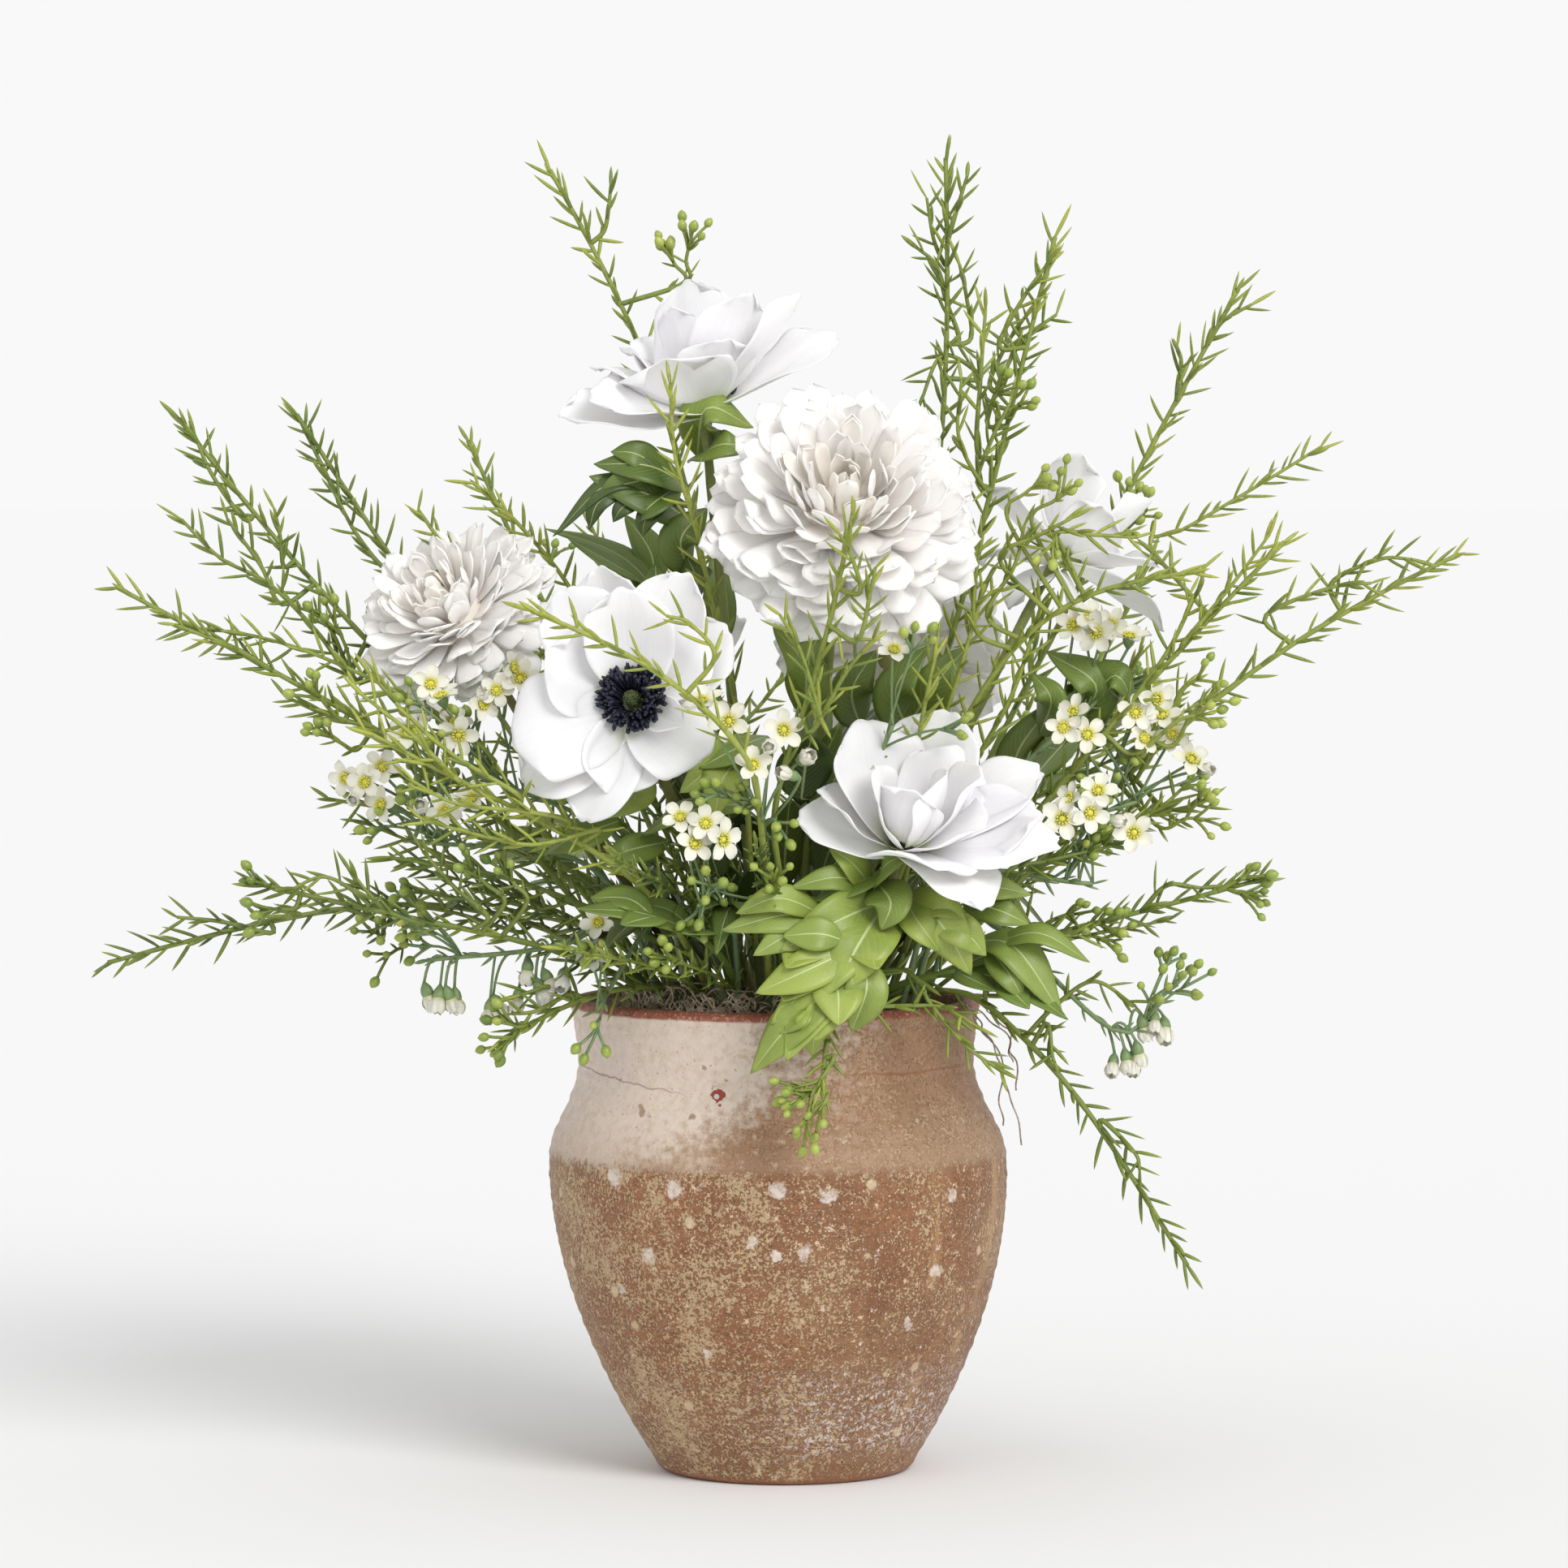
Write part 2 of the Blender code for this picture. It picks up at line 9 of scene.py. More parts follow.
import bmesh
import bpy
import numpy as np
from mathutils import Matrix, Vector


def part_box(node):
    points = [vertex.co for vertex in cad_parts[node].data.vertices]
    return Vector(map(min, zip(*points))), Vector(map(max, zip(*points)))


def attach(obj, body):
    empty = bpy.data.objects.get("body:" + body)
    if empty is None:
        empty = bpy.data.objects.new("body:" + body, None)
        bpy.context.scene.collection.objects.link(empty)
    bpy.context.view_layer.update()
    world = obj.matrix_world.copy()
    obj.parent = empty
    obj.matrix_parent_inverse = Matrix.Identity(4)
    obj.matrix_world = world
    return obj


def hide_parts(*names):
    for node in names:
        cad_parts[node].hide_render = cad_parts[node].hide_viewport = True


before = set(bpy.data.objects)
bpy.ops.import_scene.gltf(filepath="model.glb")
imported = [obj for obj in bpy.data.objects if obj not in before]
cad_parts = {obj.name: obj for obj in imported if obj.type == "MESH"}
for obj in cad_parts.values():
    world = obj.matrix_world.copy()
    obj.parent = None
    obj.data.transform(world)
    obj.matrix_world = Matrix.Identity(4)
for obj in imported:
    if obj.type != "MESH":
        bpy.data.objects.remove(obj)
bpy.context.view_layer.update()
NODES = list(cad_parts)
MOUTH = np.array((0, 0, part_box("pot")[1][2]))
MM = 0.001
GOLDEN = math.radians(137.508)
PETAL_WALL, DAHLIA_WALL, LEAF_WALL = 0.00045, 0.00042, 0.0005
# A leaf blade's shape, as shares of its half width or of its length
BLADE_FOLD, BLADE_DROOP, BLADE_SWEEP = 0.25, 0.18, 0.16

SPRIG_NAMES = [name for name in NODES if name.startswith("sprig")]
LEAF_NAMES = [name for name in NODES if name.startswith("leaf")]
FLOWER_NAMES = [name[: -len("_stem")] for name in NODES if name.endswith("_stem")]


# ---------------------------------------------------------------- grids and meshes


def unit(vectors):
    """Vectors scaled to a length of one."""
    return vectors / np.maximum(np.linalg.norm(vectors, axis=-1, keepdims=True), 1e-12)


class Surface:
    """Grids of points that become one mesh, with a vector attribute called look.

    look holds, for each point, how far along its piece it lies (0 to 1), how far across
    (-1 to 1), and the tone of its piece (0 to 1).
    """

    def __init__(self):
        self.points, self.looks, self.faces, self.slots, self.count = [], [], [], [], 0

    def add(self, grid, wrap=False, tone=0.5, slot=0):
        """Adds grids (..., rows, columns, 3); the last column joins the first if wrap is set."""
        grid = grid.reshape(-1, *grid.shape[-3:])
        batch, rows, columns = grid.shape[:3]
        index = np.arange(batch * rows * columns).reshape(batch, rows, columns) + self.count
        if wrap:
            index = np.concatenate([index, index[:, :, :1]], axis=2)
        corners = (index[:, :-1, :-1], index[:, :-1, 1:], index[:, 1:, 1:], index[:, 1:, :-1])
        quads = np.stack(corners, axis=-1).reshape(-1, 4)
        look = np.empty((batch, rows, columns, 3))
        look[..., 0] = np.linspace(0, 1, rows)[:, None]
        look[..., 1] = np.linspace(-1, 1, columns)
        look[..., 2] = np.broadcast_to(np.asarray(tone, float).reshape(-1, 1, 1), (batch, 1, 1))
        self.points.append(grid.reshape(-1, 3))
        self.looks.append(look.reshape(-1, 3))
        self.faces.append(quads)
        self.slots.append(np.full(len(quads), slot))
        self.count += batch * rows * columns


def make_piece(name, surface, materials, replaces=(), thickness=0.0):
    """One object from the grids: doubles at poles and seams are merged, then the wall is given."""
    points, faces = np.concatenate(surface.points), np.concatenate(surface.faces)
    mesh = bpy.data.meshes.new(name)
    mesh.vertices.add(len(points))
    mesh.vertices.foreach_set("co", points.astype(np.float32).ravel())
    mesh.loops.add(faces.size)
    mesh.loops.foreach_set("vertex_index", faces.astype(np.int32).ravel())
    mesh.polygons.add(len(faces))
    mesh.polygons.foreach_set("loop_start", np.arange(0, faces.size, 4, dtype=np.int32))
    mesh.polygons.foreach_set("material_index", np.concatenate(surface.slots).astype(np.int32))
    look = mesh.attributes.new("look", "FLOAT_VECTOR", "POINT")
    look.data.foreach_set("vector", np.concatenate(surface.looks).astype(np.float32).ravel())
    mesh.update(calc_edges=True)
    cells = bmesh.new()
    cells.from_mesh(mesh)
    bmesh.ops.remove_doubles(cells, verts=cells.verts, dist=1e-6)
    bmesh.ops.dissolve_degenerate(cells, edges=cells.edges, dist=1e-7)
    cells.to_mesh(mesh)
    cells.free()
    mesh.shade_smooth()
    for material in materials:
        mesh.materials.append(material)
    made = bpy.data.objects.new(name, mesh)
    bpy.context.scene.collection.objects.link(made)
    if thickness:
        wall = made.modifiers.new("wall", "SOLIDIFY")
        wall.thickness = thickness
        wall.offset = 0
    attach(made, "root")
    if replaces:
        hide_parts(*replaces)


# ---------------------------------------------------------------- lines read from the frame


def corners_of(name):
    """A CAD node's distinct corners, and its triangles as indices into them."""
    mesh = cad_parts[name].data
    mesh.calc_loop_triangles()
    points = np.empty(len(mesh.vertices) * 3, np.float32)
    mesh.vertices.foreach_get("co", points)
    triangles = np.empty(len(mesh.loop_triangles) * 3, np.int32)
    mesh.loop_triangles.foreach_get("vertices", triangles)
    points = points.reshape(-1, 3).astype(float)
    _, first, index = np.unique(np.round(points * 1e5), axis=0, return_index=True, return_inverse=True)
    return points[first], index.reshape(-1)[triangles].reshape(-1, 3)


def rings_of(name):
    """The rings of corners of a swept node, from its foot in the foam: each ring is what shares
    an edge with the ring before it."""
    points, triangles = corners_of(name)
    joined = np.zeros((len(points), len(points)), bool)
    for a, b in ((0, 1), (1, 2), (2, 0)):
        joined[triangles[:, a], triangles[:, b]] = True
    joined |= joined.T
    inner = np.linalg.norm(points[:, :2], axis=1) < 0.062
    foot = points[inner, 2].min()
    ring = inner & (points[:, 2] < foot + 0.0022)
    seen = ring.copy()
    rings = []
    while ring.any():
        rings.append(points[ring])
        ring = joined[ring].any(axis=0) & ~seen
        seen |= ring
    return rings


def through(points, count):
    """The Catmull-Rom curve through the points, read at equal steps of its length."""
    points = np.asarray(points, float)
    ends = [2 * points[0] - points[1], *points, 2 * points[-1] - points[-2]]
    t = np.linspace(0, 1, 12, endpoint=False)[:, None]
    fine = []
    for a, b, c, d in zip(ends, ends[1:], ends[2:], ends[3:]):
        bend = (2 * a - 5 * b + 4 * c - d) * t**2 + (3 * b - a - 3 * c + d) * t**3
        fine.append(b + ((c - a) * t + bend) / 2)
    fine = np.concatenate([*fine, points[-1:]])
    length = np.concatenate([[0], np.cumsum(np.linalg.norm(np.diff(fine, axis=0), axis=1))])
    at = np.linspace(0, length[-1], count)
    return np.stack([np.interp(at, length, fine[:, i]) for i in range(3)], axis=1)


def line_of(name, count):
    """A stem's centre line from its foot to its end."""
    return through([ring.mean(axis=0) for ring in rings_of(name)], count)


def above_moss(line):
    """The part of a stem's line that shows above the moss."""
    return line[np.argmax(line[:, 2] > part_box("moss")[1][2] - 0.004) :]


class Head:
    """A flower head's frame: its centre, its axis, and x to the right and y up across it."""

    def __init__(self, name):
        self.name = name
        rings = [ring.mean(axis=0) for ring in rings_of(name + "_stem")]
        self.centre = rings[-1]
        self.z = unit(rings[-1] - rings[-2])
        self.y = unit(np.array((0, 0, 1)) - self.z * self.z[2])
        self.x = np.cross(self.y, self.z)
        petals = corners_of(name + "_petals_outer")[0] - self.centre
        flat = petals - np.outer(petals @ self.z, self.z)
        self.radius = np.linalg.norm(flat, axis=1).max()
        self.nodes = [n for n in NODES if n.startswith(name) and not n.endswith("_stem")]

    def holds(self, points, margin):
        """Whether each point lies in the flat ball that the head's petals fill."""
        local = points - self.centre - self.z * self.radius * 0.16
        height = local @ self.z / (self.radius * 0.32 + margin)
        across = np.linalg.norm(local - np.outer(local @ self.z, self.z), axis=1)
        return height**2 + (across / (self.radius + margin)) ** 2 < 1


HEADS = {name: Head(name) for name in FLOWER_NAMES}


# ---------------------------------------------------------------- shapes


def across_of(paths):
    """Tangents, and two directions square to them, from the axis least in line with each path."""
    tangent = unit(np.gradient(paths, axis=-2))
    pick = np.abs(tangent).max(axis=-2).argmin(axis=-1)
    first = unit(np.cross(np.eye(3)[pick][..., None, :], tangent))
    return tangent, first, np.cross(tangent, first)


def tubes(paths, radii, sides):
    """Circles of the given radii carried along paths (..., n, 3), with both ends drawn to a point."""
    _, first, second = across_of(paths)
    angle = np.arange(sides) * 2 * math.pi / sides
    circle = np.cos(angle)[:, None] * first[..., None, :] + np.sin(angle)[:, None] * second[..., None, :]
    wall = paths[..., None, :] + radii[..., None, None] * circle
    shape = (*paths.shape[:-2], 1, sides, 3)
    start = np.broadcast_to(paths[..., :1, None, :], shape)
    end = np.broadcast_to(paths[..., -1:, None, :], shape)
    return np.concatenate([start, wall, end], axis=-3)


def spots_of(numbers):
    """Points from a flat run of x, y, z in millimetres from the centre of the pot's mouth."""
    return np.reshape(numbers, (-1, 3)) * MM + MOUTH


def column(values, size):
    """A value, or one for each of a batch, as an array that spans rows and columns."""
    return np.broadcast_to(np.asarray(values, float), (size,))[:, None, None]


def petals(
    head, azimuth, base, lift, tilt, curl, length, width,
    cup=0.5, neck=0.3, rise=0.6, tip=0.62, ruffle=0.0, waves=2.0, phase=0.0, point=0.0,
    rows=12, columns=9,
):  # fmt: skip
    """Petals on a head, as grids: the spine is an arc whose angle from the axis grows from tilt by
    curl; the half width rises as a quarter sine and closes as a quarter ellipse past tip, or
    more sharply with point; across it bends as an arc of half angle cup, and ruffle waves it."""
    size = len(azimuth)
    base, lift, tilt, curl = (column(value, size) for value in (base, lift, tilt, curl))
    length, width, cup, neck = (column(value, size) for value in (length, width, cup, neck))
    ruffle, phase, point = (column(value, size) for value in (ruffle, phase, point))
    curl = np.where(np.abs(curl) < 0.02, 0.02, curl)
    u = np.linspace(0, 1, rows)[None, :, None] ** 0.9
    v = np.linspace(-1, 1, columns)[None, None, :]
    angle = tilt + curl * u
    out = base + length * (np.cos(tilt) - np.cos(angle)) / curl
    up = lift + length * (np.sin(angle) - np.sin(tilt)) / curl
    grow = neck + (1 - neck) * np.sin(math.pi / 2 * np.clip(u / rise, 0, 1))
    close = np.sqrt(np.clip(1 - (np.clip(u - tip, 0, 1) / (1 - tip)) ** 2, 0, 1))
    half = width * grow * close * (1 - point * u**2 * (1 - close))
    bend = np.where(np.abs(cup) < 0.02, 0.02, cup)
    side = half * np.sin(v * bend) / bend
    over = half * (1 - np.cos(v * bend)) / bend
    over = over + ruffle * u**2 * np.abs(v) * np.sin(waves * math.pi * v + phase)
    over = over + ruffle * 0.6 * u**3 * np.sin(2.2 * u * math.pi + phase * 1.7)
    out = out - np.cos(angle) * over
    up = up + np.sin(angle) * over
    turn = column(azimuth, size)
    local_x = out * np.cos(turn) - side * np.sin(turn)
    local_y = out * np.sin(turn) + side * np.cos(turn)
    return (
        head.centre
        + local_x[..., None] * head.x
        + local_y[..., None] * head.y
        + up[..., None] * head.z
    )


def blades(bases, along, out, length, width, lean, bend, rows=6):
    """Needles: a flat diamond section carried along a line that leaves the stem at the angle lean
    and bends back along it, even in width and closed by a blunt point."""
    t = np.linspace(0, 1, rows)[None, :, None] ** 0.8
    lean, bend, length = lean[:, None, None], bend[:, None, None], length[:, None, None]
    along, out = along[:, None], out[:, None]
    spine = np.sin(lean) * t * out + (np.cos(lean) * t + bend * t**2) * along
    spine = bases[:, None] + length * spine
    tangent = unit(np.gradient(spine, axis=1))
    side = unit(np.cross(tangent, out + 0.3 * along))
    face = np.cross(side, tangent)
    half = width * (0.70 + 0.36 * np.sin(math.pi * t**0.8)) * (1 - t**8)
    ring = [side * half, face * half * 0.8, -side * half, -face * half * 0.8]
    return np.stack([spine + offset for offset in ring], axis=2)


def beads(centres, axes, radius, length, rows=6, sides=7, nose=0.0):
    """Egg shapes: a half sine turned round each axis, drawn out towards its end by nose."""
    t = np.linspace(0, 1, rows)
    paths = centres[:, None] + axes[:, None] * (length[:, None] * (t[None] - 0.5))[..., None]
    profile = np.sin(math.pi * t) ** 0.62 * (1 - nose * t)
    return tubes(paths, radius[:, None] * profile, sides)[:, 1:-1]


def arcs(starts, ends, rise, count=7):
    """Lines from starts to ends that leave along rise and settle into the straight way."""
    t = np.linspace(0, 1, count)[None, :, None]
    middle = (starts + ends)[:, None] / 2 + rise[:, None]
    return (1 - t) ** 2 * starts[:, None] + 2 * t * (1 - t) * middle + t**2 * ends[:, None]


def leaf_blade(line, half_width, rows=20, columns=9, facing=(0, 0, 1.0)):
    """A leaf blade as a grid: the half width follows a sine of the way along, the edges are swept
    towards the tip, the midrib is a fold, and the edges droop with the square of the width."""
    fine = through(line, 60)
    tangent = unit(np.gradient(fine, axis=0))
    side = np.cross(tangent, facing)
    side += np.outer(1 - np.linalg.norm(side, axis=1), (1.0, 0, 0)) * 0.3
    side = unit(side - tangent * (side * tangent).sum(axis=1, keepdims=True))
    upward = np.cross(side, tangent)
    t = np.linspace(0, 1, rows)[:, None]
    v = np.linspace(-1, 1, columns)[None, :]
    envelope = np.sin(math.pi * t**0.66) ** 0.8
    half = half_width * envelope
    at = np.clip(t + BLADE_SWEEP * np.abs(v) ** 1.3 * envelope * (1 - t) ** 0.5, 0, 1)

    def read(values):
        steps = np.linspace(0, 1, len(values))
        return np.stack([np.interp(at, steps, values[:, i]) for i in range(3)], axis=-1)

    foot = np.where(t < 0.97, (0.5 + 0.5 * np.cos(2 * math.pi * t)) ** 2.5, 0)
    lift = BLADE_FOLD * half * np.abs(v) - BLADE_DROOP * half * v**2 - 0.03 * half_width * foot
    return read(fine) + read(side) * (half * v)[..., None] + read(upward) * lift[..., None]


def add_twig(surface, line, thick, thin, sides, tone, slot=1):
    """A round stem along a line, whose radius goes evenly from thick to thin."""
    radius = np.linspace(thick, thin, len(line))
    surface.add(tubes(line[None], radius[None], sides), wrap=True, tone=tone, slot=slot)


def add_bead(surface, centre, axis, radius, length, rows, sides, tone=0.5, slot=0):
    """One egg shape on its own."""
    grid = beads(centre[None], axis[None], np.array((radius,)), np.array((length,)), rows, sides)
    surface.add(grid, wrap=True, tone=tone, slot=slot)


# ---------------------------------------------------------------- materials


def shade(red, green, blue):
    """A colour on the 0 to 255 screen scale, as linear light with full opacity."""
    c = np.array((red, green, blue)) / 255
    linear = np.where(c <= 0.04045, c / 12.92, ((c + 0.055) / 1.055) ** 2.4)
    return (*linear.tolist(), 1.0)


class Value:
    """A node's output. Adding, subtracting, multiplying and abs() each make one Math node."""

    def __init__(self, finish, socket):
        self.finish, self.socket = finish, socket

    def __add__(self, other):
        return self.finish.math("ADD", self, other)

    def __sub__(self, other):
        return self.finish.math("SUBTRACT", self, other)

    def __mul__(self, other):
        return self.finish.math("MULTIPLY", self, other)

    def __abs__(self):
        return self.finish.math("ABSOLUTE", self)


class Finish:
    """A material's node graph. Its methods add nodes; colours are given on the 0 to 255 scale."""

    def __init__(self, name, roughness=0.5, **sockets):
        self.material = bpy.data.materials.new(name)
        self.material.use_nodes = True
        self.tree = self.material.node_tree
        self.shader = self.tree.nodes["Principled BSDF"]
        self.shader.inputs["Roughness"].default_value = roughness
        for socket, value in sockets.items():
            self.shader.inputs[socket.replace("_", " ")].default_value = value
        self.place = Value(self, self.node("TexCoord").outputs["Object"])
        look = self.node("Attribute", attribute_name="look").outputs["Vector"]
        self.along, self.across, self.tone = self.parts(look)
        self.x, self.y, self.z = self.parts(self.place.socket)

    def node(self, kind, *inputs, **settings):
        """A node with its first inputs filled, each by a value or by another node's output."""
        made = self.tree.nodes.new("ShaderNode" + kind)
        for key, value in settings.items():
            setattr(made, key, value)
        for socket, value in zip(made.inputs, inputs):
            self.join(value, socket)
        return made

    def parts(self, vector):
        """The three numbers of a vector."""
        split = self.node("SeparateXYZ")
        self.tree.links.new(vector, split.inputs[0])
        return [Value(self, socket) for socket in split.outputs]

    def join(self, value, socket):
        if isinstance(value, Value):
            self.tree.links.new(value.socket, socket)
        else:
            socket.default_value = shade(*value) if isinstance(value, tuple) else value

    def math(self, operation, a, b=0.0):
        return Value(self, self.node("Math", a, b, operation=operation).outputs[0])

    def step(self, value, low, high, bottom=0.0, top=1.0):
        """Rises smoothly from bottom to top while the value goes from low to high."""
        made = self.node("MapRange", value, low, high, bottom, top, interpolation_type="SMOOTHSTEP")
        return Value(self, made.outputs[0])

    def mix(self, factor, a, b):
        made = self.node("Mix", factor, data_type="RGBA")
        self.join(a, made.inputs[6])
        self.join(b, made.inputs[7])
        return Value(self, made.outputs[2])

    def wash(self, under, over, value, low, high, most=1.0):
        """A colour laid over another as the value goes from low to high, up to a share of most."""
        return self.mix(self.step(value, low, high, 0, most), under, over)

    def noise(self, scale, detail=3.0, rough=0.55, at=None):
        made = self.node("TexNoise", at or self.place)
        for socket, value in (("Scale", scale), ("Detail", detail), ("Roughness", rough)):
            made.inputs[socket].default_value = value
        return Value(self, made.outputs["Fac"])

    def cells(self, scale, output="Distance"):
        made = self.node("TexVoronoi", self.place)
        made.inputs["Scale"].default_value = scale
        return Value(self, made.outputs[output])

    def stretched(self, x, y, z):
        made = self.node("Mapping", self.place)
        made.inputs["Scale"].default_value = (x, y, z)
        return Value(self, made.outputs[0])

    def near(self, spot, radius, ragged=0.0, soft=0.3):
        """1 within the radius of a place on the object, 0 outside, with a ragged edge."""
        made = self.node("VectorMath", self.place, operation="DISTANCE")
        made.inputs[1].default_value = spot
        distance = Value(self, made.outputs["Value"]) + (self.noise(260, 2) - 0.5) * ragged
        return self.step(distance, radius, radius * (1 - soft))

    def bump(self, height, strength, distance):
        made = self.node("Bump")
        made.inputs["Strength"].default_value = strength
        made.inputs["Distance"].default_value = distance
        self.join(height, made.inputs["Height"])
        self.tree.links.new(made.outputs[0], self.shader.inputs["Normal"])

    def colour(self, value):
        self.join(value, self.shader.inputs["Base Color"])
        return self.material


def petal_finish(name, light, shadow, base, warm):
    """Soft petals: fine veins along, a tinted foot, and clouds of a slightly darker tone."""
    made = Finish(name, 0.62, Subsurface_Weight=0.3, Subsurface_Scale=0.008, Sheen_Weight=0.08)
    made.shader.inputs["Subsurface Radius"].default_value = (1.0, 0.95, 0.85)
    body = made.mix(made.step(made.noise(28, 3), 0.35, 0.75) * 0.6, light, shadow)
    body = made.wash(body, warm, made.tone, 0.45, 1.0, 0.75)
    streak = made.step(made.noise(1.0, 2, at=vein_lines(made, 9, 1.6)), 0.3, 0.7, 0.5, 1.0)
    foot = made.step(made.along, 0.34, 0.02) * streak
    veins = made.noise(1.0, 2.5, at=vein_lines(made, 16, 1.1))
    body = made.wash(body, shadow, veins, 0.42, 0.7, 0.18)
    made.bump(veins, 0.22, 0.0008)
    return made.colour(made.mix(foot, body, base))


def vein_lines(made, across, along):
    """A place for noise that is stretched along a petal: close together across, long along."""
    joined = made.node("CombineXYZ", made.across * across, made.along * along, made.tone * 31.0)
    return Value(made, joined.outputs[0])


def green_finish(name, dark, middle, bright, roughness=0.5, tip=0.35, grain=420):
    """Stem and needle green: the tone picks the shade, ends are lighter, and grain mottles it."""
    made = Finish(name, roughness, Subsurface_Weight=0.06, Subsurface_Scale=0.002)
    body = made.wash(dark, middle, made.tone, 0.0, 0.5)
    body = made.wash(body, bright, made.tone, 0.5, 1.0)
    body = made.wash(body, bright, made.along, 0.3, 1.0, tip)
    mottle = made.noise(grain, 3)
    body = made.wash(body, dark, mottle, 0.45, 0.75, 0.35)
    made.bump(mottle, 0.25, 0.0004)
    return made.colour(made.wash(body, bright, made.noise(38, 2), 0.4, 0.75, 0.35))


def leaf_finish():
    """Broad leaves: a pale midrib and side veins on mottled yellow green, with a satin skin."""
    made = Finish("lobed leaf", 0.42, Subsurface_Weight=0.05, Subsurface_Scale=0.003)
    body = made.wash((46, 66, 30), (112, 134, 56), made.tone, 0.0, 0.55)
    body = made.wash(body, (162, 176, 80), made.tone, 0.5, 1.0)
    body = made.wash(body, (84, 108, 44), made.noise(60, 4), 0.4, 0.72, 0.40)
    side = abs(made.across)
    ribs = abs(made.math("SINE", made.along * 46.0 - side * 9.0))
    ribs = made.step(ribs, 0.16, 0.0, 0, 0.5) * made.step(side, 0.9, 0.3)
    vein = made.math("MAXIMUM", ribs, made.step(side, 0.075, 0.02, 0, 0.75))
    made.bump(made.noise(240, 3) * 0.5 - vein, 0.4, 0.0007)
    return made.colour(made.mix(vein, body, (196, 212, 150)))


# The height of the pot's glaze edge in metres, and its marks: x, z and radius in millimetres
POT_BAND = 0.1350
LIME_SPOTS = (
    (-68, 131.5, 5.0), (-43.5, 127.6, 4.4), (-1, 128.6, 4.2), (20, 126.5, 3.4), (-11, 107.4, 3.2),
    (10, 102.5, 3.6), (-1, 100.6, 2.4), (-54, 98.7, 4.2), (64, 92, 3.6), (71, 124, 3.4), (-66, 84, 2.6),
    (52, 70, 2.8), (-30, 58, 2.4),
)
STAIN_SPOTS = (
    (-10, 182, 2.4), (-57, 158, 2.2), (-31, 178, 1.2), (-36, 157, 1.6), (-22, 172, 1.0), (-66, 170, 0.9),
)
CHIP_X, CHIP_Z = -26, 165.3
CRACK_Z, LINE_Z = 0.1610, 0.1735
# How far the pot leans to one side per metre of height, and how far its lip stands out
POT_LEAN, LIP_BULGE = 0.022, 0.0013


